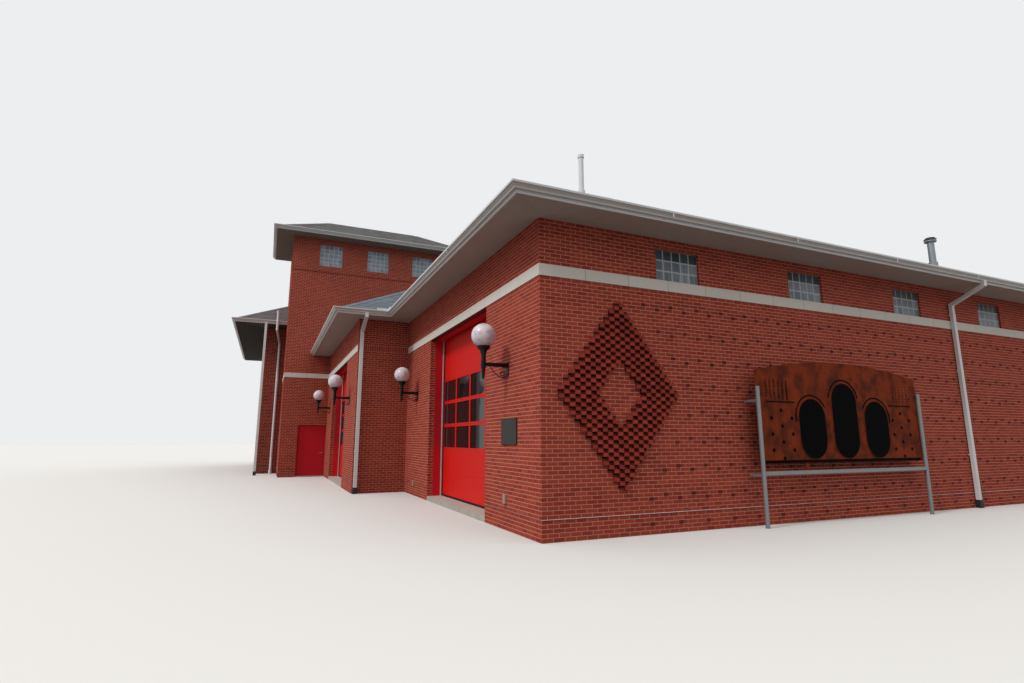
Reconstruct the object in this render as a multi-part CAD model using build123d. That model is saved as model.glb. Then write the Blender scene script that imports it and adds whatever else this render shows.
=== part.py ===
from build123d import *
import math
import os

# Fire station: two brick apparatus bays under hipped roofs, a brick tower, a wing behind it.
# Millimetres. X runs to the right along the front and Y to the back. The plan is drawn from the
# near right corner of the first bay, and each piece is moved at the end so that the origin is
# the middle of the whole building's footprint, eaves and gutters included.

# Brickwork
BRICK = 203.2                    # a brick and its joint, along the wall
COURSE = 203.2 / 3               # a course and its joint
BRICK_DEPTH = 92.0
WALL = 350.0                     # brick, cavity and block

# Heights, counted in courses
BAND_BOTTOM = 63 * COURSE        # underside of the limestone band, and the head of the bay doors
BAND_HEIGHT = 3 * COURSE
BAY_WALL_TOP = 78 * COURSE
TOWER_WALL_TOP = 159 * COURSE
WING_WALL_TOP = 103 * COURSE
BAND_TOP = BAND_BOTTOM + BAND_HEIGHT
BAND_PROUD = 12.0
TOWER_GROOVE_BOTTOM = 135 * COURSE
TOWER_GROOVE_DEPTH = 14.0

# Plan
BAY_DOOR_WIDTH = 21 * BRICK
PIER_A_RIGHT = 12 * BRICK
PIER_A_LEFT = 13 * BRICK
PIER_B_RIGHT = 12 * BRICK
PIER_B_LEFT = 9.5 * BRICK
BAY_DEPTH = 96.5 * BRICK
BAY_B_STEP = 7.75 * BRICK        # bay B stands in front of bay A
TOWER_WIDTH = 16 * BRICK
TOWER_DEPTH = 37.5 * BRICK
TOWER_STEP = 9.25 * BRICK        # the tower stands in front of bay B
WING_LENGTH = 55 * BRICK
WING_STEP = 4.5 * BRICK          # the wing stands in front of the tower

BAY_A_LEFT = -(PIER_A_RIGHT + BAY_DOOR_WIDTH + PIER_A_LEFT)
BAY_B_FRONT = -BAY_B_STEP
BAY_B_LEFT = BAY_A_LEFT - (PIER_B_RIGHT + BAY_DOOR_WIDTH + PIER_B_LEFT)
TOWER_RIGHT = BAY_B_LEFT
TOWER_LEFT = TOWER_RIGHT - TOWER_WIDTH
TOWER_FRONT = BAY_B_FRONT - TOWER_STEP
TOWER_BACK = TOWER_FRONT + TOWER_DEPTH
WING_LEFT = TOWER_LEFT - WING_LENGTH
WING_FRONT = TOWER_FRONT - WING_STEP
WING_BACK = TOWER_BACK

# Floor and eaves
SLAB = 20.0                      # floor of the tower and the wing
BAY_FLOOR = 110.0                # floor of the bays, and the foot of their doors
PITCH = 0.5625                   # rise over run of every roof
OVERHANG = 760.0                 # wall face to fascia face, bays and tower
WING_OVERHANG = 1350.0
FASCIA_THICKNESS = 25.0
FASCIA_DROP = 25.0               # below the soffit
FASCIA_RISE = 80.0               # above the soffit's underside
SOFFIT_THICKNESS = 20.0
ROOF_EDGE = 22.0                 # height of the roof's edge on the fascia
ROOF_THICKNESS = 220.0           # measured upright

# Gutters
GUTTER_BOTTOM = 28.0             # above the soffit's underside
GUTTER_HEIGHT = 100.0
GUTTER_FLOOR = 55.0              # depth of its flat bottom, from the fascia
GUTTER_MOUTH = 110.0             # depth of its mouth, lip included
GUTTER_LIP = 16.0
GUTTER_TOE = 30.0                # upright foot of its front
GUTTER_WALL = 4.0

# Windows of glass blocks
BLOCK = 203.2                    # a block and its joint
BLOCK_DEPTH = 98.4
WINDOW_REVEAL = 45.0
WINDOW_PITCH = 3429.0
SIDE_WINDOW_FIRST = 2413.0       # from the front corner of the side wall
BAND_WINDOW_ROWS = 3
WINDOW_COLUMNS = 5
TALL_WINDOW_ROWS = 5
TOWER_WINDOW_BOTTOM = 140 * COURSE
WING_LOW_WINDOW_BOTTOM = 16 * COURSE
WINDOW_WIDTH = WINDOW_COLUMNS * BLOCK

# Bay doors
JAMB_REVEAL = 150.0              # brick seen in front of the steel jamb
JAMB_THICKNESS = 12.0
TRACK_WIDTH = 32.0
TRACK_DEPTH = 60.0
DOOR_SECTIONS = 7
SECTION_HEIGHT = 609.6
DOOR_THICKNESS = 45.0
DOOR_LAP = 30.0                  # the door reaches this far behind its tracks
DOOR_GLASS = 10.0
DOOR_STILE = 60.0
DOOR_COLUMNS = 4
GLAZED_SECTIONS = (2, 3, 4)
SECTION_JOINT = 4.0
JOINT_DEPTH = 6.0

# Tower door
LEAF_WIDTH = 1067.0
LEAF_HEIGHT = 2134.0
LEAF_THICKNESS = 44.0
LEAF_GAP = 5.0
FRAME_FACE = 46.0
FRAME_DEPTH = 150.0
FRAME_STOP = 16.0
DOOR_SET_BACK = 90.0             # wall face to leaf face
DOOR_FROM_CORNER = 700.0         # tower corner to the frame
THRESHOLD_HEIGHT = 14.0
HINGE_PIN_RADIUS = 6.0
KNUCKLE_RADIUS = 11.0
KNUCKLE_LENGTH = 34.0
HINGE_CLEARANCE = 0.3
HINGE_PIN_OUT = 12.0             # pin in front of the leaf's face
HINGE_FROM_FOOT = 250.0          # leaf's foot to the middle of the lowest hinge
HINGE_FROM_HEAD = 200.0
LEVER_REACH = 62.0
LEVER_HEIGHT = 1010.0

# Wall lamps
GLOBE_RADIUS = 225.0
GLOBE_BANDS = 12                 # flats of its outline from pole to pole
LAMP_REACH = 480.0
LAMP_HEIGHT = 3430.0             # middle of the globe
LAMP_PLATE_DROP = 460.0          # middle of the globe to the head of the wall plate
LAMP_PLATE_HEIGHT = 265.0
LAMP_PLATE_WIDTH = 90.0
LAMP_PLATE_THICKNESS = 18.0
LAMP_ARM_DROP = 520.0
LAMP_ARM_THICKNESS = 32.0
LAMP_ARM_ROOT = (-46.0, 34.0)    # its foot and head at the wall, from its middle
LAMP_ARM_END = (-32.0, 28.0)
LAMP_SIDES = 12                  # flutes of the cast stem and cup
LAMP_PROFILE = (                 # radius of the stem and cup, and drop below the globe's middle
    (16, 790), (28, 745), (38, 600), (47, 588), (47, 462), (40, 445), (46, 350), (72, 262), (86, 250),
    (114, 236), (114, 200))
SCROLL_BAR = 13.0                # thickness of the wrought bars under the arm
SCROLL_START = 365.0             # sweeping bar: from the wall to its start under the arm
SCROLL_END = 12.0
SCROLL_DROP = 215.0
SCROLL_TURN = 2.12               # radians of its sine
CURL_OUT = 112.0                 # middle of the curl, from the wall
CURL_RADII = (64.0, 20.0)        # its outer end, on the sweeping bar, and its inner end
CURL_TURNS = 1.25
LAMP_PLACES = (1326.0, 8000.0, 10720.0, 16950.0)

# Downspouts
PIPE_WIDTH = 102.0
PIPE_DEPTH = 76.0
PIPE_WALL_GAP = 25.0
PIPE_ELBOW_HEIGHT = 4870.0
SIDE_PIPE_PLACE = 11450.0
STEP_PIPE_PLACE = 90.0           # behind bay B's front
BOOT_HEIGHT = 180.0
BOOT_MARGIN = 14.0
WING_PIPE_PLACE = 4370.0         # in front of bay A's wall
LEADER_RADIUS = 55.0
LEADER_PLACE = 3720.0            # in front of bay A's wall
LEADER_OUT = 1440.0              # bend to bend, under the wing's eave
LEADER_BEND_DROP = 706.0         # lower bend below the wing's soffit
LEADER_BEND_RISE = 390.0
LEADER_RISE = 583.0              # top above the wing's soffit
LEADER_BRACKETS = (1500.0, 3600.0, 5700.0)
LEADER_KICK = 80.0               # its foot stands this far out from the upper pipe
LEADER_KICK_LOW = 280.0
LEADER_KICK_HIGH = 700.0
LEADER_BOOT_HEIGHT = 150.0
LEADER_BOOT_MARGIN = 22.0

# Roof pipes
VENT_RADIUS = 58.0
VENT_PLACE = (1960.0, 2050.0)
VENT_TOP = 7860.0
FLUE_RADIUS = 95.0
FLUE_PLACE = (1960.0, 14800.0)
FLUE_TOP = 7850.0

# Steel panel in front of the side wall
POST_RADIUS = 38.0
POST_NEAR = 4390.0
POST_FAR = 9200.0
POST_HEIGHT = 2540.0
PANEL_OUT = 300.0                # wall face to the middle of the posts
PANEL_THICKNESS = 10.0
PANEL_BOTTOM = 1120.0
PANEL_TOP = 2870.0               # at the posts
PANEL_PEAK = 3120.0              # in the middle of its arched head
POST_BRACKET_DROP = 250.0        # post's head to its upper wall bracket
RAIL_HEIGHT = 920.0
RAIL_DEPTH = 70.0
RAIL_WIDTH = 50.0
PANEL_LEG_WIDTH = 80.0
PANEL_LEG_SPACING = 2400.0
SLOT_COUNT = 6                   # upright slots near each post
SLOT_WIDTH = 45.0
SLOT_HEIGHT = 380.0
SLOT_PITCH = 110.0
SLOT_FROM_POST = 260.0
SLOT_HEAD = 2700.0
PLATE_THICKNESS = 12.0           # rounded plates on the sheet's face
PLATE_WIDTH = 760.0
PLATE_FOOT = 1190.0
PLATE_HEIGHTS = (1180.0, 1520.0, 1180.0)
PLATE_SPACING = 960.0

# Plaque
PLAQUE_WIDTH = 670.0
PLAQUE_HEIGHT = 460.0
PLAQUE_BOTTOM = 1480.0
PLAQUE_PLACE = 900.0             # corner of the side wall to its near edge
PLAQUE_THICKNESS = 20.0


def block(x, y, z):
    """Box between a low and a high value on each axis."""
    spans = (x, y, z)
    middle = [(low + high) / 2 for low, high in spans]
    return Pos(*middle) * Box(*[high - low for low, high in spans])


def prism(corners, low, high):
    """Upright prism over a plan outline."""
    face = make_face(Polyline(*corners, close=True))
    return Pos(0, 0, low) * extrude(face, high - low, dir=(0, 0, 1))


def bays_outline(grow):
    """Plan outline of the two bays, moved outwards."""
    return [
        (grow, -grow),
        (grow, BAY_DEPTH + grow),
        (BAY_B_LEFT - grow, BAY_DEPTH + grow),
        (BAY_B_LEFT - grow, BAY_B_FRONT - grow),
        (BAY_A_LEFT + grow, BAY_B_FRONT - grow),
        (BAY_A_LEFT + grow, -grow),
    ]


def rectangle(left, right, front, back, grow):
    return [
        (right + grow, front - grow),
        (right + grow, back + grow),
        (left - grow, back + grow),
        (left - grow, front - grow),
    ]


def tower_outline(grow):
    return rectangle(TOWER_LEFT, TOWER_RIGHT, TOWER_FRONT, TOWER_BACK, grow)


def wing_outline(grow):
    return rectangle(WING_LEFT, TOWER_LEFT, WING_FRONT, WING_BACK, grow)


def tower_solid():
    """The room that the tower takes in its neighbours' roofs and eaves."""
    return prism(tower_outline(0), 0, TOWER_WALL_TOP)


def hall_solid(low, high):
    """Inside of the two bays, between two heights."""
    hall_a = block((BAY_B_LEFT + WALL, -WALL), (WALL, BAY_DEPTH - WALL), (low, high))
    hall_b = block((BAY_B_LEFT, BAY_A_LEFT - WALL), (BAY_B_FRONT + WALL, BAY_DEPTH - WALL), (low, high))
    behind = block((BAY_B_LEFT, BAY_B_LEFT + WALL), (TOWER_BACK, BAY_DEPTH), (low, high))
    return hall_a + hall_b - behind


# Walls

def band_runs():
    """Limestone band: round bay A and the back, across bay B, and round the tower's foot."""
    proud, deep = BAND_PROUD, BAND_PROUD - BRICK_DEPTH
    height = (BAND_BOTTOM, BAND_TOP)
    front_a = block((BAY_A_LEFT, proud), (-proud, -deep), height)
    side = block((deep, proud), (-proud, BAY_DEPTH + proud), height)
    back = block((BAY_B_LEFT - proud, proud), (BAY_DEPTH + deep, BAY_DEPTH + proud), height)
    left = block((BAY_B_LEFT - proud, BAY_B_LEFT - deep), (TOWER_BACK, BAY_DEPTH + proud), height)
    front_b = block((BAY_B_LEFT, BAY_A_LEFT), (BAY_B_FRONT - proud, BAY_B_FRONT - deep), height)
    tower_front = block((TOWER_LEFT, TOWER_RIGHT + proud), (TOWER_FRONT - proud, TOWER_FRONT - deep), height)
    tower_side = block((TOWER_RIGHT + deep, TOWER_RIGHT + proud),
                       (TOWER_FRONT - proud, BAY_B_FRONT - proud), height)
    return [front_a + side + back + left, front_b, tower_front + tower_side]


def windows_between(start, end, count, pitch):
    """Low ends of a row of windows centred between two values."""
    span = (count - 1) * pitch + WINDOW_WIDTH
    first = (start + end - span) / 2
    return [first + i * pitch for i in range(count)]


def window(axis, face, outward, start, bottom, rows):
    """One window as (hole through the wall, panel of blocks in it)."""
    along = (start, start + WINDOW_WIDTH)
    height = (bottom, bottom + rows * BLOCK)
    hole_across = sorted((face + outward, face - outward * (WALL + 1)))
    front = face - outward * WINDOW_REVEAL
    panel_across = sorted((front, front - outward * BLOCK_DEPTH))
    if axis == "x":
        return block(along, hole_across, height), block(along, panel_across, height)
    return block(hole_across, along, height), block(panel_across, along, height)


def bay_windows():
    side = [SIDE_WINDOW_FIRST + i * WINDOW_PITCH for i in range(5)]
    back = windows_between(BAY_B_LEFT, 0, 5, WINDOW_PITCH)
    left = windows_between(TOWER_BACK, BAY_DEPTH, 4, WINDOW_PITCH)
    return {
        "side_wall": [window("y", 0, 1, y, BAND_TOP, BAND_WINDOW_ROWS) for y in side],
        "rear_wall": [window("x", BAY_DEPTH, 1, x, BAND_TOP, BAND_WINDOW_ROWS) for x in back],
        "bay_left_wall": [window("y", BAY_B_LEFT, -1, y, BAND_TOP, BAND_WINDOW_ROWS) for y in left],
    }


def tower_windows():
    gap = (TOWER_DEPTH - 3 * WINDOW_WIDTH) / 4
    along = windows_between(TOWER_FRONT, TOWER_BACK, 3, WINDOW_WIDTH + gap)
    across = windows_between(TOWER_LEFT, TOWER_RIGHT, 1, 0)
    bottom, rows = TOWER_WINDOW_BOTTOM, TALL_WINDOW_ROWS
    return {
        "tower_side_wall": [window("y", TOWER_RIGHT, 1, y, bottom, rows) for y in along],
        "tower_left_wall": [window("y", TOWER_LEFT, -1, y, bottom, rows) for y in along],
        "tower_front_wall": [window("x", TOWER_FRONT, -1, x, bottom, rows) for x in across],
        "tower_rear_wall": [window("x", TOWER_BACK, 1, x, bottom, rows) for x in across],
    }


def wing_windows():
    front = windows_between(WING_LEFT, TOWER_LEFT, 3, WINDOW_PITCH)
    side = windows_between(WING_FRONT, WING_BACK, 2, WINDOW_PITCH)
    rows = TALL_WINDOW_ROWS
    found = {"wing_front_wall": [], "wing_rear_wall": [], "wing_left_wall": []}
    for bottom in (WING_LOW_WINDOW_BOTTOM, BAND_TOP):
        found["wing_front_wall"] += [window("x", WING_FRONT, -1, x, bottom, rows) for x in front]
        found["wing_rear_wall"] += [window("x", WING_BACK, 1, x, bottom, rows) for x in front]
        found["wing_left_wall"] += [window("y", WING_LEFT, -1, y, bottom, rows) for y in side]
    return found


def pierced(wall, windows, cutters=()):
    for hole, _ in windows:
        wall -= hole
    for cutter in cutters:
        wall -= cutter
    return wall


def bay_walls():
    top = (0, BAY_WALL_TOP)
    over = (BAND_BOTTOM, BAY_WALL_TOP)
    bands = band_runs()
    windows = bay_windows()
    front_a = (0, WALL)
    front_b = (BAY_B_FRONT, BAY_B_FRONT + WALL)
    door_a = (-PIER_A_RIGHT - BAY_DOOR_WIDTH, -PIER_A_RIGHT)
    door_b = (BAY_A_LEFT - PIER_B_RIGHT - BAY_DOOR_WIDTH, BAY_A_LEFT - PIER_B_RIGHT)

    side = block((-WALL, 0), (0, BAY_DEPTH), top)
    rear = block((BAY_B_LEFT + WALL, -WALL), (BAY_DEPTH - WALL, BAY_DEPTH), top)
    left = block((BAY_B_LEFT, BAY_B_LEFT + WALL), (TOWER_BACK, BAY_DEPTH), top)
    a_right = block((door_a[1], -WALL), front_a, top)
    a_left = block((BAY_A_LEFT, door_a[0]), front_a, top)
    b_right = block((door_b[1], BAY_A_LEFT - WALL), front_b, top)
    b_left = block((BAY_B_LEFT, door_b[0]), front_b, top)
    step = block((BAY_A_LEFT - WALL, BAY_A_LEFT), (BAY_B_FRONT, WALL), top)
    return {
        "side_wall": pierced(side, windows["side_wall"], bands[:1]),
        "rear_wall": pierced(rear, windows["rear_wall"], bands[:1]),
        "bay_left_wall": pierced(left, windows["bay_left_wall"], bands[:1]),
        "bay_a_piers": [pierced(a_right, [], bands[:1]), pierced(a_left, [], bands[:1])],
        "bay_a_wall_over_door": block(door_a, front_a, over) - bands[0],
        "bay_b_piers": [pierced(b_right, [], bands[1:2]), pierced(b_left, [], bands[1:2])],
        "bay_b_wall_over_door": block(door_b, front_b, over) - bands[1],
        "bay_b_return_wall": step - bands[1],
    }


def tower_door_span():
    """Y from side to side, and the height, of the hole for the tower door's frame."""
    low = TOWER_FRONT + DOOR_FROM_CORNER
    width = LEAF_WIDTH + 2 * (LEAF_GAP + FRAME_FACE)
    height = SLAB + THRESHOLD_HEIGHT + LEAF_HEIGHT + 2 * LEAF_GAP + FRAME_FACE
    return low, low + width, height


def tower_walls():
    top = (0, TOWER_WALL_TOP)
    band = band_runs()[2]
    windows = tower_windows()
    door_low, door_high, door_head = tower_door_span()
    groove_height = (TOWER_GROOVE_BOTTOM, TOWER_GROOVE_BOTTOM + COURSE)
    ring = prism(tower_outline(1), *groove_height) - prism(tower_outline(-TOWER_GROOVE_DEPTH), *groove_height)
    right = (TOWER_RIGHT - WALL, TOWER_RIGHT)
    left = (TOWER_LEFT, TOWER_LEFT + WALL)
    inner = (TOWER_LEFT + WALL, TOWER_RIGHT - WALL)
    depth = (TOWER_FRONT, TOWER_BACK)
    cuts = (band, ring)
    upper = block(right, depth, (door_head, TOWER_WALL_TOP))
    return {
        "tower_side_wall": pierced(upper, windows["tower_side_wall"], cuts),
        "tower_door_piers": [
            block(right, (TOWER_FRONT, door_low), (0, door_head)),
            block(right, (door_high, TOWER_BACK), (0, door_head)),
        ],
        "tower_left_wall": pierced(block(left, depth, top), windows["tower_left_wall"], cuts),
        "tower_front_wall": pierced(
            block(inner, (TOWER_FRONT, TOWER_FRONT + WALL), top), windows["tower_front_wall"], cuts),
        "tower_rear_wall": pierced(
            block(inner, (TOWER_BACK - WALL, TOWER_BACK), top), windows["tower_rear_wall"], cuts),
    }


def wing_walls():
    top = (0, WING_WALL_TOP)
    windows = wing_windows()
    front = block((WING_LEFT + WALL, TOWER_LEFT - WALL), (WING_FRONT, WING_FRONT + WALL), top)
    rear = block((WING_LEFT + WALL, TOWER_LEFT), (WING_BACK - WALL, WING_BACK), top)
    left = block((WING_LEFT, WING_LEFT + WALL), (WING_FRONT, WING_BACK), top)
    return {
        "wing_front_wall": pierced(front, windows["wing_front_wall"]),
        "wing_rear_wall": pierced(rear, windows["wing_rear_wall"]),
        "wing_left_wall": pierced(left, windows["wing_left_wall"]),
        "wing_corner_wall": block((TOWER_LEFT - WALL, TOWER_LEFT), (WING_FRONT, TOWER_FRONT + WALL), top),
    }


def floor_slabs():
    level, bay_level = (0, SLAB), (0, BAY_FLOOR)
    door_a = block((-PIER_A_RIGHT - BAY_DOOR_WIDTH, -PIER_A_RIGHT), (0, WALL), bay_level)
    b_right = BAY_A_LEFT - PIER_B_RIGHT
    door_b = block((b_right - BAY_DOOR_WIDTH, b_right), (BAY_B_FRONT, BAY_B_FRONT + WALL), bay_level)
    bays = hall_solid(*bay_level) + door_a + door_b
    low, high, _ = tower_door_span()
    tower = prism(tower_outline(-WALL), *level) + block((TOWER_RIGHT - WALL, TOWER_RIGHT), (low, high), level)
    wing = block((WING_LEFT + WALL, TOWER_LEFT), (WING_FRONT + WALL, WING_BACK - WALL), level)
    wing -= block((TOWER_LEFT - WALL, TOWER_LEFT), (WING_FRONT, TOWER_FRONT + WALL), level)
    return [bays, tower, wing]


# Roofs and eaves

def hip(left, right, front, back, base):
    """Solid under four slopes of the same pitch that rise from a rectangle."""
    inset = min(right - left, back - front) / 2
    first = extrude(Plane.XZ * gable(left, right, inset, base), back - front, dir=(0, 1, 0))
    second = extrude(Plane.YZ * gable(front, back, inset, base), right - left, dir=(1, 0, 0))
    return (Pos(0, front, 0) * first) & (Pos(left, 0, 0) * second)


def gable(start, end, inset, base):
    """Upright profile of a slope on either side, flat between them where there is room."""
    top = base + PITCH * inset
    corners = [(start, base), (end, base), (end - inset, top)]
    if end - start > 2 * inset + 1:
        corners.append((start + inset, top))
    return make_face(Polyline(*corners, close=True))


def eave_boxes(name):
    """Rectangles of fascia faces, as (left, right, front, back), under each roof."""
    if name == "bays":
        return [
            (BAY_A_LEFT - OVERHANG, OVERHANG, -OVERHANG, BAY_DEPTH + OVERHANG),
            (BAY_B_LEFT - OVERHANG, BAY_A_LEFT + OVERHANG, BAY_B_FRONT - OVERHANG, BAY_DEPTH + OVERHANG),
        ]
    if name == "tower":
        return [(TOWER_LEFT - OVERHANG, TOWER_RIGHT + OVERHANG, TOWER_FRONT - OVERHANG, TOWER_BACK + OVERHANG)]
    grow = WING_OVERHANG
    return [(WING_LEFT - grow, TOWER_LEFT + grow, WING_FRONT - grow, WING_BACK + grow)]


def roof(name, outline, wall_top, overhang):
    """Shell of roof deck and shingles, seated on the fascia."""
    seat = wall_top + FASCIA_RISE
    edge = seat + ROOF_EDGE
    outer = prism(outline(overhang), seat, edge)
    inner = None
    for box in eave_boxes(name):
        outer += hip(*box, edge)
        lowered = hip(*box, edge - ROOF_THICKNESS)
        inner = lowered if inner is None else inner + lowered
    shell = outer - inner
    return shell if name == "tower" else shell - tower_solid()


def eaves(outline, wall_top, overhang, inside):
    """Fascia boards and the flat soffit, which lies on the wall heads."""
    low, high = wall_top - FASCIA_DROP, wall_top + FASCIA_RISE
    inner = overhang - FASCIA_THICKNESS
    ring = prism(outline(overhang), low, high) - prism(outline(inner), low - 1, wall_top)
    ring -= prism(outline(inner), wall_top + SOFFIT_THICKNESS, high + 1)
    return ring - inside


def flare(outline, first, low, second, high):
    """Solid between two outlines at two heights."""
    faces = [Pos(0, 0, z) * make_face(Polyline(*outline(grow), close=True))
             for grow, z in ((first, low), (second, high))]
    return loft(faces, ruled=True)


def gutter(outline, wall_top, overhang):
    """Open trough with a flat bottom, an upright toe, a sloped front and a lip."""
    bottom = wall_top + GUTTER_BOTTOM
    toe = bottom + GUTTER_TOE
    lip = bottom + GUTTER_HEIGHT - GUTTER_LIP
    top = bottom + GUTTER_HEIGHT
    floor, mouth = overhang + GUTTER_FLOOR, overhang + GUTTER_MOUTH
    thin = GUTTER_WALL
    outer = prism(outline(floor), bottom, toe) + flare(outline, floor, toe, mouth, lip)
    outer += prism(outline(mouth), lip, top)
    inner = prism(outline(floor - thin), bottom + thin, toe) + flare(outline, floor - thin, toe, mouth - thin, lip)
    inner += prism(outline(mouth - thin), lip, top + 1)
    return outer - inner - prism(outline(overhang), bottom - 1, top + 1)


# Bay doors

def bay_door(right, front):
    """Frame, tracks, panels and glass of one sectional door, from its opening's right edge."""
    left = right - BAY_DOOR_WIDTH
    jamb = (front + JAMB_REVEAL, front + WALL)
    head = BAND_BOTTOM
    sides = block((left, right), jamb, (BAY_FLOOR, head))
    frame = sides - block((left + JAMB_THICKNESS, right - JAMB_THICKNESS), (front, front + WALL + 1),
                          (BAY_FLOOR - 1, head - JAMB_THICKNESS))
    track_depth = (front + WALL, front + WALL + TRACK_DEPTH)
    tracks = [
        block((left - DOOR_LAP, left + TRACK_WIDTH), track_depth, (BAY_FLOOR, head)),
        block((right - TRACK_WIDTH, right + DOOR_LAP), track_depth, (BAY_FLOOR, head)),
    ]
    face = front + WALL + TRACK_DEPTH
    height = (BAY_FLOOR, BAY_FLOOR + DOOR_SECTIONS * SECTION_HEIGHT)
    panel = block((left - DOOR_LAP, right + DOOR_LAP), (face, face + DOOR_THICKNESS), height)
    for joint in range(1, DOOR_SECTIONS):
        z = BAY_FLOOR + joint * SECTION_HEIGHT
        panel -= block((left - DOOR_LAP - 1, right + DOOR_LAP + 1), (face - 1, face + JOINT_DEPTH),
                       (z - SECTION_JOINT / 2, z + SECTION_JOINT / 2))
    pitch = (BAY_DOOR_WIDTH - DOOR_STILE) / DOOR_COLUMNS
    glass = []
    middle = face + DOOR_THICKNESS / 2
    for row in GLAZED_SECTIONS:
        low = BAY_FLOOR + row * SECTION_HEIGHT + DOOR_STILE / 2
        for column in range(DOOR_COLUMNS):
            x = left + DOOR_STILE + column * pitch
            light = ((x, x + pitch - DOOR_STILE), (low, low + SECTION_HEIGHT - DOOR_STILE))
            panel -= block(light[0], (face - 1, face + DOOR_THICKNESS + 1), light[1])
            glass.append(block(light[0], (middle - DOOR_GLASS / 2, middle + DOOR_GLASS / 2), light[1]))
    return frame, tracks, panel, glass


# Tower door

def tower_door():
    """Frame with its hinge knuckles, leaf with lever handles, and threshold."""
    low, high, head = tower_door_span()
    face = TOWER_RIGHT - DOOR_SET_BACK
    leaf_y = (low + FRAME_FACE + LEAF_GAP, high - FRAME_FACE - LEAF_GAP)
    leaf_z = (SLAB + THRESHOLD_HEIGHT + LEAF_GAP, head - FRAME_FACE - LEAF_GAP)
    back = face - LEAF_THICKNESS
    frame = block((face - FRAME_DEPTH, face), (low, high), (SLAB, head))
    frame -= block((back - LEAF_GAP, face + 1), (low + FRAME_FACE, high - FRAME_FACE), (SLAB - 1, head - FRAME_FACE))
    frame -= block((face - FRAME_DEPTH - 1, face), (low + FRAME_FACE + FRAME_STOP, high - FRAME_FACE - FRAME_STOP),
                   (SLAB - 1, head - FRAME_FACE - FRAME_STOP))
    threshold = block((face - FRAME_DEPTH, face + DOOR_SET_BACK / 2),
                      (low + FRAME_FACE, high - FRAME_FACE), (SLAB, SLAB + THRESHOLD_HEIGHT))
    threshold -= frame
    leaf = block((back, face), leaf_y, leaf_z)

    pin_x, pin_y = face + HINGE_PIN_OUT, low + FRAME_FACE + LEAF_GAP / 2
    total = 3 * KNUCKLE_LENGTH
    for middle in hinge_heights(leaf_z):
        start = middle - total / 2
        centre = (pin_x, pin_y)
        pin = cylinder(centre, HINGE_PIN_RADIUS, start, start + total)
        for z in (start, start + 2 * KNUCKLE_LENGTH):
            pin += cylinder(centre, KNUCKLE_RADIUS, z, z + KNUCKLE_LENGTH)
            pin += block((face, pin_x), (low + FRAME_FACE - 14, pin_y - HINGE_PIN_RADIUS + 2),
                         (z, z + KNUCKLE_LENGTH))
        frame += pin
        span = (start + KNUCKLE_LENGTH + HINGE_CLEARANCE, start + 2 * KNUCKLE_LENGTH - HINGE_CLEARANCE)
        knuckle = cylinder(centre, KNUCKLE_RADIUS, *span)
        knuckle += block((face, pin_x), (pin_y + HINGE_PIN_RADIUS - 2, leaf_y[0] + 14), span)
        leaf += knuckle - cylinder(centre, HINGE_PIN_RADIUS + HINGE_CLEARANCE, *span)
    for side, outward in ((face, 1), (back, -1)):
        leaf += lever(side, outward, leaf_y[1] - 70, LEVER_HEIGHT)
    return frame, leaf, threshold, (pin_x, pin_y)


def hinge_heights(leaf_z):
    return (leaf_z[0] + HINGE_FROM_FOOT, (leaf_z[0] + leaf_z[1]) / 2, leaf_z[1] - HINGE_FROM_HEAD)


def cylinder(centre, radius, low, high):
    """Upright cylinder between two heights."""
    middle = Pos(centre[0], centre[1], (low + high) / 2)
    return middle * Cylinder(radius, high - low)


def lever(face, outward, y, z):
    """Rose, neck and lever that points at the hinges."""
    rose = Pos(face + outward * 4, y, z) * Rot(0, 90, 0) * Cylinder(27, 8)
    neck = Pos(face + outward * LEVER_REACH / 2, y, z) * Rot(0, 90, 0) * Cylinder(9, LEVER_REACH)
    x = face + outward * (LEVER_REACH - 9)
    bar = block(sorted((x - 7, x + 7)), (y - 115, y + 9), (z - 9, z + 9))
    return rose + neck + bar


# Wall lamps

def lamp(x, front):
    """Wall plate, arm, scroll, fluted stem and cup, and the globe on it."""
    middle = front - LAMP_REACH
    wall_side = front - LAMP_PLATE_THICKNESS
    plate_head = LAMP_HEIGHT - LAMP_PLATE_DROP
    plate = block((x - LAMP_PLATE_WIDTH / 2, x + LAMP_PLATE_WIDTH / 2), (wall_side, front),
                  (plate_head - LAMP_PLATE_HEIGHT, plate_head))
    arm_z = LAMP_HEIGHT - LAMP_ARM_DROP
    arm_face = Plane.YZ * make_face(Polyline(
        (wall_side, arm_z + LAMP_ARM_ROOT[0]), (wall_side, arm_z + LAMP_ARM_ROOT[1]),
        (middle, arm_z + LAMP_ARM_END[1]), (middle, arm_z + LAMP_ARM_END[0]), close=True))
    arm = Pos(x - LAMP_ARM_THICKNESS / 2, 0, 0) * extrude(arm_face, amount=LAMP_ARM_THICKNESS, dir=(1, 0, 0))
    rings = [Pos(x, middle, LAMP_HEIGHT - drop) * RegularPolygon(radius, LAMP_SIDES)
             for radius, drop in LAMP_PROFILE]
    stem = loft(rings, ruled=True)
    scroll = scrollwork(x, front, arm_z + LAMP_ARM_END[0])
    bracket = plate + arm + stem + scroll
    return bracket, globe(x, middle) - bracket


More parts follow.
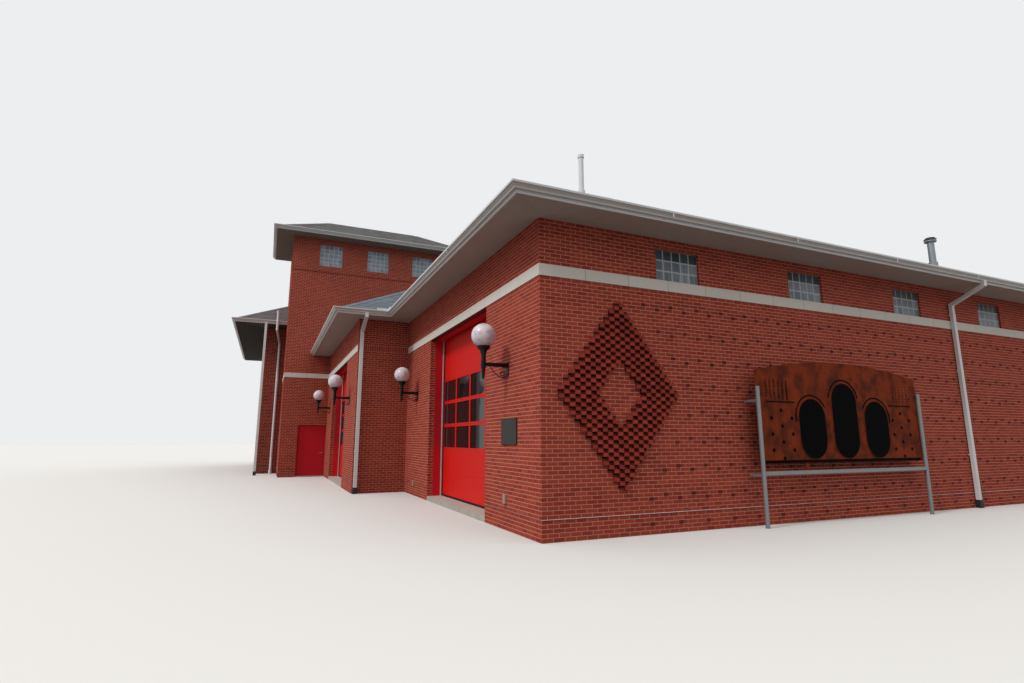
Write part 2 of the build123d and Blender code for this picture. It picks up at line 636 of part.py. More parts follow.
def scrollwork(x, front, under):
    """Bar that sweeps down from the arm to the foot of the wall plate, and the curl that lies on it."""
    reach = SCROLL_START - SCROLL_END

    def sweeping(share):
        return front - SCROLL_START + reach * share, under + SCROLL_BAR - SCROLL_DROP * math.sin(SCROLL_TURN * share)

    _, low = sweeping((SCROLL_START - CURL_OUT) / reach)
    outer, inner = CURL_RADII
    centre_y, centre_z = front - CURL_OUT, low + outer

    def curling(share):
        radius = outer + (inner - outer) * share
        angle = 2 * math.pi * CURL_TURNS * share - math.pi / 2
        return centre_y + radius * math.cos(angle), centre_z + radius * math.sin(angle)

    bars = [strap([sweeping(i / 10) for i in range(11)]), strap([curling(i / 18) for i in range(19)])]
    return Pos(x - SCROLL_BAR / 2, 0, 0) * (bars[0] + bars[1])


def strap(line):
    """Square bar along a line of points in Y and Z."""
    half = SCROLL_BAR / 2
    above, below = [], []
    for i, (y, z) in enumerate(line):
        before, after = line[max(i - 1, 0)], line[min(i + 1, len(line) - 1)]
        run, rise = after[0] - before[0], after[1] - before[1]
        size = math.hypot(run, rise)
        above.append((y - rise / size * half, z + run / size * half))
        below.append((y + rise / size * half, z - run / size * half))
    face = make_face(Polyline(*above, *reversed(below), close=True))
    return extrude(Plane.YZ * face, amount=SCROLL_BAR, dir=(1, 0, 0))


def globe(x, y):
    """Ball turned from an outline of short flats."""
    turns = [math.pi * i / GLOBE_BANDS for i in range(GLOBE_BANDS + 1)]
    outline = [(GLOBE_RADIUS * math.sin(turn), GLOBE_RADIUS * math.cos(turn)) for turn in turns]
    outline[0], outline[-1] = (0, GLOBE_RADIUS), (0, -GLOBE_RADIUS)
    half = Plane.XZ * make_face(Polyline(*outline, close=True))
    return Pos(x, y, LAMP_HEIGHT) * revolve(half, Axis.Z)


# Downspouts and roof pipes

def downspout(face, place, wall_top, overhang, elbow):
    """Pipe from a gutter's bottom, back under the soffit and down the wall to its boot."""
    near = face + PIPE_WALL_GAP + PIPE_DEPTH / 2
    far = face + overhang + PIPE_DEPTH / 2 + 2
    top = wall_top + GUTTER_BOTTOM
    shape = [(far, top), (far, top - 110), (near, elbow), (near, BOOT_HEIGHT)]
    path = Polyline(*[(across, place, z) for across, z in shape])
    profile = Pos(far, place, top) * Rectangle(PIPE_DEPTH, PIPE_WIDTH)
    pipe = sweep(profile, path=path, transition=Transition.RIGHT)
    return pipe, boot(near, place)


def boot(x, y):
    """Cast drain boot round the foot of a pipe."""
    half_depth, half_width = PIPE_DEPTH / 2 + BOOT_MARGIN, PIPE_WIDTH / 2 + BOOT_MARGIN
    return block((x - half_depth, x + half_depth), (y - half_width, y + half_width), (0, BOOT_HEIGHT))


def wing_pipes():
    """Straight pipe under the wing's gutter with its boot, and the leader beside it with its kicked foot."""
    x = TOWER_LEFT + WING_OVERHANG + PIPE_DEPTH / 2 + 2
    y = -WING_PIPE_PLACE
    top = WING_WALL_TOP + GUTTER_BOTTOM
    pipe = block((x - PIPE_DEPTH / 2, x + PIPE_DEPTH / 2), (y - PIPE_WIDTH / 2, y + PIPE_WIDTH / 2),
                 (BOOT_HEIGHT, top))
    near = TOWER_LEFT + PIPE_WALL_GAP + LEADER_RADIUS
    far = TOWER_LEFT + WING_OVERHANG + GUTTER_MOUTH + LEADER_RADIUS + 8
    y = -LEADER_PLACE
    bend, head = WING_WALL_TOP - LEADER_BEND_DROP, WING_WALL_TOP + LEADER_RISE
    foot = near + LEADER_KICK
    points = [(foot, y, 0), (foot, y, LEADER_KICK_LOW), (near, y, LEADER_KICK_HIGH), (near, y, bend),
              (far, y - 160, bend + LEADER_BEND_RISE), (far, y - 160, head - 60)]
    path = Polyline(*points)
    leader = sweep(Pos(foot, y, 0) * Circle(LEADER_RADIUS), path=path, transition=Transition.RIGHT)
    leader += cylinder((foot, y), LEADER_RADIUS + LEADER_BOOT_MARGIN, 0, LEADER_BOOT_HEIGHT)
    leader += cylinder((far, y - 160), LEADER_RADIUS + 16, head - 80, head)
    for z in LEADER_BRACKETS:
        leader += block((TOWER_LEFT, near), (y - 20, y + 20), (z - 20, z + 20))
    return pipe, boot(x, -WING_PIPE_PLACE), leader


def roof_height(inward):
    """Top of the bay roof at a distance in from the wall face."""
    return BAY_WALL_TOP + FASCIA_RISE + ROOF_EDGE + PITCH * (OVERHANG + inward)


def roof_pipes():
    inward, y = VENT_PLACE
    base = roof_height(inward)
    vent = cylinder((-inward, y), VENT_RADIUS, base - 60, VENT_TOP - 60)
    vent += cylinder((-inward, y), VENT_RADIUS + 14, VENT_TOP - 70, VENT_TOP)
    vent += cylinder((-inward, y), VENT_RADIUS + 22, base - 60, base + 90)
    inward, y = FLUE_PLACE
    base = roof_height(inward)
    flue = cylinder((-inward, y), FLUE_RADIUS, base - 80, FLUE_TOP - 130)
    flue += cylinder((-inward, y), FLUE_RADIUS + 30, base - 80, base + 120)
    flue += cylinder((-inward, y), FLUE_RADIUS + 70, FLUE_TOP - 140, FLUE_TOP - 105)
    flue += cylinder((-inward, y), FLUE_RADIUS - 20, FLUE_TOP - 110, FLUE_TOP - 50)
    flue += Pos(-inward, y, FLUE_TOP - 30) * Cone(FLUE_RADIUS + 80, 60, 60)
    return vent, flue


# Panel

def steel_panel():
    """Posts, rail and stand-off brackets, and the cut sheet they hold with its slots and plates."""
    posts = []
    for y in (POST_NEAR, POST_FAR):
        post = cylinder((PANEL_OUT, y), POST_RADIUS, 0, POST_HEIGHT)
        for z in (RAIL_HEIGHT, POST_HEIGHT - POST_BRACKET_DROP):
            post += block((0, PANEL_OUT), (y - 20, y + 20), (z - 25, z + 25))
        posts.append(post)
    rail = block((PANEL_OUT - RAIL_WIDTH / 2, PANEL_OUT + RAIL_WIDTH / 2), (POST_NEAR, POST_FAR),
                 (RAIL_HEIGHT, RAIL_HEIGHT + RAIL_DEPTH))
    frame = posts[0] + posts[1] + rail

    middle = (POST_NEAR + POST_FAR) / 2
    back = PANEL_OUT - POST_RADIUS - PANEL_THICKNESS
    face = back + PANEL_THICKNESS
    edge = Polyline((POST_NEAR, PANEL_TOP), (POST_NEAR, PANEL_BOTTOM), (POST_FAR, PANEL_BOTTOM), (POST_FAR, PANEL_TOP))
    head = ThreePointArc((POST_FAR, PANEL_TOP), (middle, PANEL_PEAK), (POST_NEAR, PANEL_TOP))
    sheet = Pos(back, 0, 0) * extrude(Plane.YZ * make_face(edge + head), amount=PANEL_THICKNESS, dir=(1, 0, 0))
    for i in range(SLOT_COUNT):
        inward = SLOT_FROM_POST + i * SLOT_PITCH
        for y in (POST_NEAR + inward, POST_FAR - inward):
            sheet -= block((back - 1, face + 1), (y - SLOT_WIDTH / 2, y + SLOT_WIDTH / 2),
                           (SLOT_HEAD - SLOT_HEIGHT, SLOT_HEAD))
    for i, height in enumerate(PLATE_HEIGHTS):
        place = Pos(middle + (i - 1) * PLATE_SPACING, PLATE_FOOT + height / 2) * Rot(0, 0, 90)
        plate = extrude(Plane.YZ * place * SlotOverall(height, PLATE_WIDTH), amount=PLATE_THICKNESS, dir=(1, 0, 0))
        sheet += Pos(face, 0, 0) * plate
    for y in (middle - PANEL_LEG_SPACING / 2, middle + PANEL_LEG_SPACING / 2):
        sheet += block((back, face), (y - PANEL_LEG_WIDTH / 2, y + PANEL_LEG_WIDTH / 2),
                       (RAIL_HEIGHT + RAIL_DEPTH, PANEL_BOTTOM))
    return frame, sheet - frame


def build():
    """Every piece by name, in the frame of the near right corner."""
    pieces = {}
    pieces.update(bay_walls())
    pieces.update(tower_walls())
    pieces.update(wing_walls())
    pieces["floor_slabs"] = floor_slabs()
    pieces["stone_band"] = band_runs()
    for name, found in (("bay_windows", bay_windows()), ("tower_windows", tower_windows()),
                        ("wing_windows", wing_windows())):
        pieces[name] = [panel for group in found.values() for _, panel in group]

    pieces["bays_roof"] = roof("bays", bays_outline, BAY_WALL_TOP, OVERHANG)
    pieces["tower_roof"] = roof("tower", tower_outline, TOWER_WALL_TOP, OVERHANG)
    pieces["wing_roof"] = roof("wing", wing_outline, WING_WALL_TOP, WING_OVERHANG)
    low, high = BAY_WALL_TOP - 100, BAY_WALL_TOP + 200
    pieces["bays_eaves"] = eaves(bays_outline, BAY_WALL_TOP, OVERHANG, hall_solid(low, high) + tower_solid())
    inside = prism(tower_outline(-WALL), TOWER_WALL_TOP - 100, TOWER_WALL_TOP + 200)
    pieces["tower_eaves"] = eaves(tower_outline, TOWER_WALL_TOP, OVERHANG, inside)
    inside = prism(wing_outline(-WALL), WING_WALL_TOP - 100, WING_WALL_TOP + 200)
    pieces["wing_eaves"] = eaves(wing_outline, WING_WALL_TOP, WING_OVERHANG, inside + tower_solid())
    pieces["gutters"] = [
        gutter(bays_outline, BAY_WALL_TOP, OVERHANG) - tower_solid(),
        gutter(tower_outline, TOWER_WALL_TOP, OVERHANG),
        gutter(wing_outline, WING_WALL_TOP, WING_OVERHANG) - tower_solid(),
    ]

    doors = [bay_door(-PIER_A_RIGHT, 0), bay_door(BAY_A_LEFT - PIER_B_RIGHT, BAY_B_FRONT)]
    pieces["bay_door_frames"] = [door[0] for door in doors]
    pieces["bay_door_tracks"] = doors[0][1] + doors[1][1]
    pieces["bay_door_a"] = doors[0][2]
    pieces["bay_door_b"] = doors[1][2]
    pieces["bay_door_glass"] = doors[0][3] + doors[1][3]

    frame, leaf, threshold, _ = tower_door()
    pieces["tower_door_frame"] = frame
    pieces["tower_door"] = leaf
    pieces["tower_door_threshold"] = threshold

    lamps = [lamp(-place, 0 if place < -BAY_A_LEFT else BAY_B_FRONT) for place in LAMP_PLACES]
    pieces["lamp_brackets"] = [bracket for bracket, _ in lamps]
    pieces["lamp_globes"] = [globe for _, globe in lamps]

    wing_pipe, wing_boot, leader = wing_pipes()
    pipes = [
        downspout(0, SIDE_PIPE_PLACE, BAY_WALL_TOP, OVERHANG, PIPE_ELBOW_HEIGHT),
        downspout(BAY_A_LEFT, BAY_B_FRONT + STEP_PIPE_PLACE, BAY_WALL_TOP, OVERHANG, PIPE_ELBOW_HEIGHT),
    ]
    pieces["downspouts"] = [pipe for pipe, _ in pipes] + [wing_pipe]
    pieces["downspout_boots"] = [foot for _, foot in pipes] + [wing_boot]
    pieces["corner_leader"] = leader
    vent, flue = roof_pipes()
    pieces["vent_pipe"] = vent - pieces["bays_roof"]
    pieces["flue_pipe"] = flue - pieces["bays_roof"]

    pieces["panel_posts"], pieces["steel_panel"] = steel_panel()
    pieces["plaque"] = block((-PLAQUE_PLACE - PLAQUE_WIDTH, -PLAQUE_PLACE), (-PLAQUE_THICKNESS, 0),
                             (PLAQUE_BOTTOM, PLAQUE_BOTTOM + PLAQUE_HEIGHT))
    return pieces


def footprint_middle():
    """Middle of the footprint, from gutter lip to gutter lip."""
    lip, wing_lip = OVERHANG + GUTTER_MOUTH, WING_OVERHANG + GUTTER_MOUTH
    x = (lip + WING_LEFT - wing_lip) / 2
    y = (BAY_DEPTH + lip + WING_FRONT - wing_lip) / 2
    return x, y


def solids_of(piece):
    if isinstance(piece, (list, tuple)):
        return [solid for item in piece for solid in solids_of(item)]
    return list(piece.solids())


if __name__ == "__main__":
    os.makedirs("parts", exist_ok=True)
    x, y = footprint_middle()
    for name, piece in build().items():
        solids = [Pos(-x, -y, 0) * solid for solid in solids_of(piece)]
        whole = solids[0] if len(solids) == 1 else Compound(children=solids)
        whole.label = name
        export_step(whole, f"parts/{name}.step")
    pin = tower_door()[3]
    print("tower door pin", [round(a - b, 2) for a, b in zip(pin, (x, y))])
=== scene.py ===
"""Fire station of red brick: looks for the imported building, with its bricks, stones, shingles and fittings."""

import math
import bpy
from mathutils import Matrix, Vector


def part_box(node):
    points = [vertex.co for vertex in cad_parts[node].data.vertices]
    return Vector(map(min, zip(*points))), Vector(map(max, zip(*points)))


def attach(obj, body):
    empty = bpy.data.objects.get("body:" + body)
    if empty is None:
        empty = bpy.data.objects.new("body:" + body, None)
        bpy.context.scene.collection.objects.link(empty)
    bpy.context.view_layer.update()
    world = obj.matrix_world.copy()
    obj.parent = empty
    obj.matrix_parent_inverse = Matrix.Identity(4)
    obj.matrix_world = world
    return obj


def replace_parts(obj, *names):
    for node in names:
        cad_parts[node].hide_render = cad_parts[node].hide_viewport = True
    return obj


bl_info = {
    "name": "Brick Fire Station",
    "version": (1, 0, 0),
    "blender": (4, 5, 0),
    "location": "View3D > Sidebar > Fire Station",
    "description": "Lays the brickwork, roofing and fittings of a fire station over its frame",
    "category": "Object",
}

import bmesh
import bpy
import numpy as np
from mathutils import Vector

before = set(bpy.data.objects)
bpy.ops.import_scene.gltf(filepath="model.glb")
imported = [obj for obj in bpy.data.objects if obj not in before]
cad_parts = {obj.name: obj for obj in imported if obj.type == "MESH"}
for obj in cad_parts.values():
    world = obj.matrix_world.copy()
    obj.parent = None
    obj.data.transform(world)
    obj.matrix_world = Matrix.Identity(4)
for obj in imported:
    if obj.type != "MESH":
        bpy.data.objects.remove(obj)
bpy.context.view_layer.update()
BODY, LEAF = "building", "tower_door_leaf"
SEED = 41
X, Y, Z = np.eye(3)


# Places taken from the frame, in metres

def corners(name):
    """Lowest and highest corner of a node, as arrays."""
    low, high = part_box(name)
    return np.array(low), np.array(high)


def solid_boxes(name):
    """Lowest and highest corners of each separate solid of a node."""
    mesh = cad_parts[name].data
    points = np.empty(len(mesh.vertices) * 3)
    mesh.vertices.foreach_get("co", points)
    keys, first = np.unique(np.round(points.reshape(-1, 3), 5), axis=0, return_inverse=True)
    group = np.arange(len(keys))
    edges = np.empty(len(mesh.edges) * 2, dtype=np.int64)
    mesh.edges.foreach_get("vertices", edges)
    edges = first.reshape(-1)[edges.reshape(-1, 2)]
    while True:
        lower = np.minimum(group[edges[:, 0]], group[edges[:, 1]])
        new = group.copy()
        np.minimum.at(new, edges[:, 0], lower)
        np.minimum.at(new, edges[:, 1], lower)
        if (new == group).all():
            break
        group = new
    return [(keys[group == g].min(axis=0), keys[group == g].max(axis=0)) for g in np.unique(group)]


SIDE_X = corners("side_wall")[1][0]
FRONT_A = corners("bay_a_piers")[0][1]
FRONT_B = corners("bay_b_piers")[0][1]
STEP_X = corners("bay_b_return_wall")[1][0]
REAR_Y = corners("side_wall")[1][1]
BAY_LEFT_X = corners("bay_left_wall")[0][0]
TOWER_L, TOWER_F = corners("tower_left_wall")[0][:2]
TOWER_R, TOWER_B = corners("tower_side_wall")[1][:2]
WING_L, WING_F = corners("wing_left_wall")[0][:2]
WING_B = corners("wing_left_wall")[1][1]
BAY_TOP = corners("side_wall")[1][2]
TOPS = {"bays": BAY_TOP, "tower": corners("tower_left_wall")[1][2], "wing": corners("wing_left_wall")[1][2]}
BAND_LOW, BAND_HIGH = corners("stone_band")[0][2], corners("stone_band")[1][2]
OVERHANG = corners("bays_roof")[1][0] - SIDE_X
WING_OVERHANG = WING_L - corners("wing_roof")[0][0]

# Each block's corners in plan, with the outside on the right, and how its eave goes on at each of them: 1 round an
# outer corner, -1 into an inner one, 0 square
OUTLINES = {
    "bays": ([(TOWER_R, FRONT_B), (STEP_X, FRONT_B), (STEP_X, FRONT_A), (SIDE_X, FRONT_A), (SIDE_X, REAR_Y),
              (BAY_LEFT_X, REAR_Y), (BAY_LEFT_X, TOWER_B)], (0, 1, -1, 1, 1, 1, 0)),
    "tower": ([(TOWER_L, TOWER_F), (TOWER_R, TOWER_F), (TOWER_R, TOWER_B), (TOWER_L, TOWER_B), (TOWER_L, TOWER_F)],
              (1, 1, 1, 1, 1)),
    "wing": ([(TOWER_L, WING_B), (WING_L, WING_B), (WING_L, WING_F), (TOWER_L, WING_F), (TOWER_L, TOWER_F)],
             (1, 1, 1, 1, 0)),
}
GROOVE, GROOVE_DEPTH = 135, 0.014    # the tower's recessed course, counted from the ground
WINDOW_REVEAL, BAY_REVEAL, TOWER_REVEAL = 0.045, 0.150, 0.090
FLASHING_COURSE = 5
LOZENGE = (1.53, 2.335, 1.24, 1.66, 0.36)    # middle along the wall and up it, half width and height, share cut out
MARKS = (1.85, 58, 7, 3)    # start along the wall, top course, courses from pair to pair, bricks from mark to mark
GLASS_PITCH = 0.2032
PITCH = 0.5625    # rise of the roofs for a run of one
ROOF_EDGE = 0.022    # height of a roof's own edge, under the first shingles
FASCIA = 0.025
GUTTER_REACH, GUTTER_LIP = 0.110, 0.128    # out of the fascia and up from the soffit
FAR = 99.0


def run_between(start, end):
    """Start, direction and length of a level run along an axis."""
    way = np.array([end[0] - start[0], end[1] - start[1], 0.0])
    width = np.abs(way).sum()
    return start, way / width, width


def runs_through(points):
    """The runs from each point to the next."""
    return [run_between(*ends) for ends in zip(points, points[1:])]


# Settings

def linear(code):
    """sRGB hex to linear red, green and blue."""
    parts = [int(code[i:i + 2], 16) / 255 for i in (1, 3, 5)]
    return tuple(c / 12.92 if c <= 0.04045 else ((c + 0.055) / 1.055) ** 2.4 for c in parts)


def colour(name, description, code):
    return bpy.props.FloatVectorProperty(
        name=name, description=description, subtype="COLOR", size=3, min=0, max=1, default=linear(code))


def length(name, description, default):
    return bpy.props.FloatProperty(name=name, description=description, unit="LENGTH", min=0, default=default)


def strength(name, description, default):
    return bpy.props.FloatProperty(name=name, description=description, default=default, min=0)


class StationBrickSettings(bpy.types.PropertyGroup):
    brick: length("Brick length", "A brick and its joint, along the wall", 0.2032)
    course: length("Course", "A course and its joint", 0.2032 / 3)
    joint: length("Joint", "Width of the mortar joints", 0.010)
    proud: length("Face depth", "How far the brick faces stand out of the mortar", 0.0025)
    corbel: length("Corbel", "How far the headers of the lozenge stand out", 0.060)
    mark: length("Mark", "How far the scattered headers stand out", 0.010)
    light: colour("Light brick", "The lightest bricks", "#AC4833")
    middle: colour("Brick", "Most of the bricks", "#96372A")
    dark: colour("Dark brick", "The darkest bricks", "#762720")
    mortar: colour("Mortar", "Tinted mortar", "#D09A84")
    stone: colour("Limestone", "The band of stone", "#D3CCC3")


class StationRoofSettings(bpy.types.PropertyGroup):
    exposure: length("Exposure", "Height of a course of shingles, up the slope", 0.143)
    tab: length("Tab", "Width of a shingle's tab", 0.305)
    board: length("Soffit board", "Width of a soffit board", 0.1016)
    blue_shingle: colour("Bay shingles", "Shingles of the bays", "#616A72")
    grey_shingle: colour("Tower shingles", "Shingles of the tower and the wing", "#636261")
    # One soffit board under all eaves: the tower's darker colour and the wing's much darker one are painted shade.
    soffit: colour("Bay soffit", "Boards under the eaves of the bays", "#B5A99F")
    tower_soffit: colour("Tower soffit", "Boards under the eaves of the tower", "#877A6E")
    wing_soffit: colour("Wing soffit", "Boards under the eaves of the wing", "#3B352F")
    # The gutters' greyer colour against the paler trim colour of their lip is painted shade and painted highlight.
    gutter: colour("Gutters", "Gutters", "#C8C3BF")
    trim: colour("Trim", "Fascia boards, downspouts and the rolled lip of the gutters", "#DDDEDE")


class StationFittingSettings(bpy.types.PropertyGroup):
    red: colour("Door red", "Enamel of the overhead doors", "#D4140C")
    globe: colour("Globe", "Lamp globes", "#E3D7DF")
    black: colour("Lamp black", "Lamp brackets", "#070708")
    rust: colour("Rust", "Weathering steel of the panel", "#7A2E12")
    relief: colour("Relief", "Dark plates on the panel", "#060607")
    galvanized: colour("Galvanized", "Posts", "#85888A")


class StationStageSettings(bpy.types.PropertyGroup):
    floor: colour("Floor", "The pale floor", "#D9D7D3")
    sky: strength("Sky", "Strength of the light from all round", 0.80)
    sun: strength("Sun", "Strength of the soft lamp", 1.5)


def settings(kind):
    return getattr(bpy.context.scene, "station_" + kind)


# Shaders

MULTIPLY = {"data_type": "RGBA", "blend_type": "MULTIPLY", "Factor": 1.0}


def add(tree, kind, links=None, stops=(), **values):
    """Adds a node, sets its options, inputs and colour stops, and joins its inputs to other nodes' outputs."""
    node = tree.nodes.new(kind)
    for key, value in values.items():
        if hasattr(node, key):
            setattr(node, key, value)
        else:
            node.inputs[key.replace("_", " ")].default_value = value
    for socket, source in (links or {}).items():
        tree.links.new(source, node.inputs[socket])
    if stops:
        elements = node.color_ramp.elements
        while len(elements) < len(stops):
            elements.new(0.5)
        for element, (place, value) in zip(elements, stops):
            element.position = place
            element.color = (*value, 1)
    return node


def finish(name, base, rough, metal=0.0, gloss=0.5, **extra):
    """A material with one surface shader of plain values; returns it, its tree and the shader."""
    material = bpy.data.materials.new(name)
    material.use_nodes = True
    tree = material.node_tree
    tree.nodes.clear()
    shader = add(tree, "ShaderNodeBsdfPrincipled", Base_Color=(*base, 1), Roughness=rough, Metallic=metal,
                 Specular_IOR_Level=gloss, **extra)
    add(tree, "ShaderNodeOutputMaterial", {"Surface": shader.outputs[0]})
    material.diffuse_color = (*base, 1)
    return material, tree, shader


def scaled(value, factor):
    return tuple(min(1.0, c * factor) for c in value)


def clouds(tree, grain, detail, rough=0.5, squash=None):
    """Noise of a real grain size in metres."""
    place = add(tree, "ShaderNodeTexCoord").outputs["Object"]
    if squash:
        place = add(tree, "ShaderNodeMapping", {"Vector": place}, Scale=squash).outputs[0]
    noise = add(tree, "ShaderNodeTexNoise", {"Vector": place}, Scale=1 / grain, Detail=detail, Roughness=rough)
    return noise.outputs[0]


def mottle(tree, shader, base, grain, spread, bump=0.0, depth=0.001):
    """Varies a colour by noise, with a bump of its grain and of a real depth in metres."""
    noise = clouds(tree, grain, 4.0, 0.6)
    stops = [(0.3, scaled(base, 1 - spread)), (0.7, scaled(base, 1 + spread))]
    tree.links.new(add(tree, "ShaderNodeValToRGB", {0: noise}, stops).outputs[0], shader.inputs["Base Color"])
    if bump:
        grit = add(tree, "ShaderNodeBump", {"Height": noise}, Strength=bump, Distance=depth)
        tree.links.new(grit.outputs[0], shader.inputs["Normal"])


def toned(tree, shader, stops, grain, spread, depth):
    """Colour from each copy's own tone, speckled by noise, with a bump of that grain; returns the colour."""
    tone = add(tree, "ShaderNodeAttribute", attribute_name="tone").outputs["Fac"]
    base = add(tree, "ShaderNodeValToRGB", {0: tone}, stops).outputs[0]
    noise = clouds(tree, grain, 3.0, 0.65)
    speckle = add(tree, "ShaderNodeMapRange", {"Value": noise},
                  From_Min=0.3, From_Max=0.7, To_Min=1 - spread, To_Max=1 + spread).outputs[0]
    out = add(tree, "ShaderNodeMix", {6: base, 7: speckle}, **MULTIPLY).outputs[2]
    tree.links.new(out, shader.inputs["Base Color"])
    grit = add(tree, "ShaderNodeBump", {"Height": noise}, Strength=0.6, Distance=depth)
    tree.links.new(grit.outputs[0], shader.inputs["Normal"])
    return out


# Finishes of one mottled colour: colour (hex, or a setting), roughness, metal, specular level, and for the mottling its
# grain, spread, bump and depth
FINISHES = {
    # Tinted sand and lime mortar: matt and even
    "mortar": ("brick.mortar", 0.95, 0, 0.2, 0.03, 0.06, 0.3, 0.0006),
    # Coil-coated aluminium of gutters, fascias and soffit boards: smooth, low sheen. All eaves have the same boards;
    # the tower's darker colour and the wing's much darker one are painted shade.
    # The gutters' body is greyer than their rolled lip, which takes the paler trim colour: painted shade on the body,
    # painted highlight on the lip.
    "coated_gutter": ("roof.gutter", 0.42, 0, 0.3, 0.9, 0.04),
    "coated_trim": ("roof.trim", 0.45, 0, 0.3, 0.9, 0.04),
    "bays_boards": ("roof.soffit", 0.6, 0, 0.25, 0.9, 0.04),
    "tower_boards": ("roof.tower_soffit", 0.7, 0, 0.15, 0.9, 0.04),
    "wing_boards": ("roof.wing_soffit", 0.8, 0, 0.06, 0.9, 0.04),
    # Baked enamel on steel doors and frames: even, satin. The darker crimson of the frames and the tower door and the
    # dark red of the lintels are painted shade.
    "red_enamel": ("fitting.red", 0.45, 0, 0.12, 0.7, 0.03),
    "crimson_enamel": ("#C61C2A", 0.5, 0, 0.15, 0.5, 0.05),
    "lintel_enamel": ("#5C1216", 0.6, 0, 0.15, 0.3, 0.08),
    # Float glass before a dark hall: smooth and nearly black, with sharp reflections
    "door_glazing": ("#1E1C1D", 0.04, 0, 0.22),
    # Extruded rubber and gunned sealant: dark and matt; the black rubber also makes the strips of painted shadow under
    # the flashing and beside the overhead doors. Extruded vinyl: pale and satin
    "rubber_seal": ("#0E0E10", 0.8, 0, 0.2),
    # The sealant's dark also paints the shade under the stone band.
    "joint_sealant": ("#4A423E", 0.85, 0, 0.2),
    "vinyl_strip": ("#CDC9CA", 0.5, 0, 0.5, 0.4, 0.06),
    # White mortar pointed between glass blocks: matt, finely grained
    "block_mortar": ("#C9C9C6", 0.9, 0, 0.2, 0.02, 0.05),
    # Cast and powder-coated lamp brackets: black, satin
    "black_coat": ("fitting.black", 0.45, 0, 0.2, 0.05, 0.2),
    # Hot-blackened steel plates: nearly black, dull
    "blackened_steel": ("fitting.relief", 0.85, 0, 0.04, 0.12, 0.35, 0.3, 0.001),
    # Hot-dip galvanized steel: dull, with a faint spangle
    "galvanized_steel": ("fitting.galvanized", 0.5, 0.35, 0.5, 0.04, 0.12),
    # Sand-cast iron: black, dull
    "cast_iron": ("#1F1E1E", 0.7, 0, 0.5),
    # Cast and darkened bronze: brown-black, with a soft metal sheen
    "bronze_plate": ("#2C2928", 0.55, 0.3, 0.3, 0.06, 0.2),
    # Brushed stainless steel: bright, with soft reflections
    "satin_steel": ("#8E9092", 0.35, 0.9, 0.5),
    # Weathered zinc, cast or folded: pinkish grey, dull
    "cast_zinc": ("#A08A80", 0.6, 0.1, 0.5, 0.03, 0.1),
    # Concrete block brushed with white paint: pale and low in sheen, its pores showing
    "painted_block": ("#C9C6BE", 0.7, 0, 0.5, 0.015, 0.05, 0.4, 0.001),
    # Moulded white plastic: smooth. Folded flue sheet: grey, patchy metal. Extruded aluminium: bright and soft
    "white_pvc": ("#D9DBDD", 0.35, 0, 0.5, 0.2, 0.05),
    "flue_sheet": ("#8B8F92", 0.4, 0.7, 0.5, 0.1, 0.15),
    "mill_aluminium": ("#A9A9A8", 0.35, 0.9, 0.5),
    # Trowelled concrete: matt, with broad clouds
    "cast_concrete": ("#B0A89D", 0.9, 0, 0.5, 0.25, 0.1, 0.3, 0.001),
}


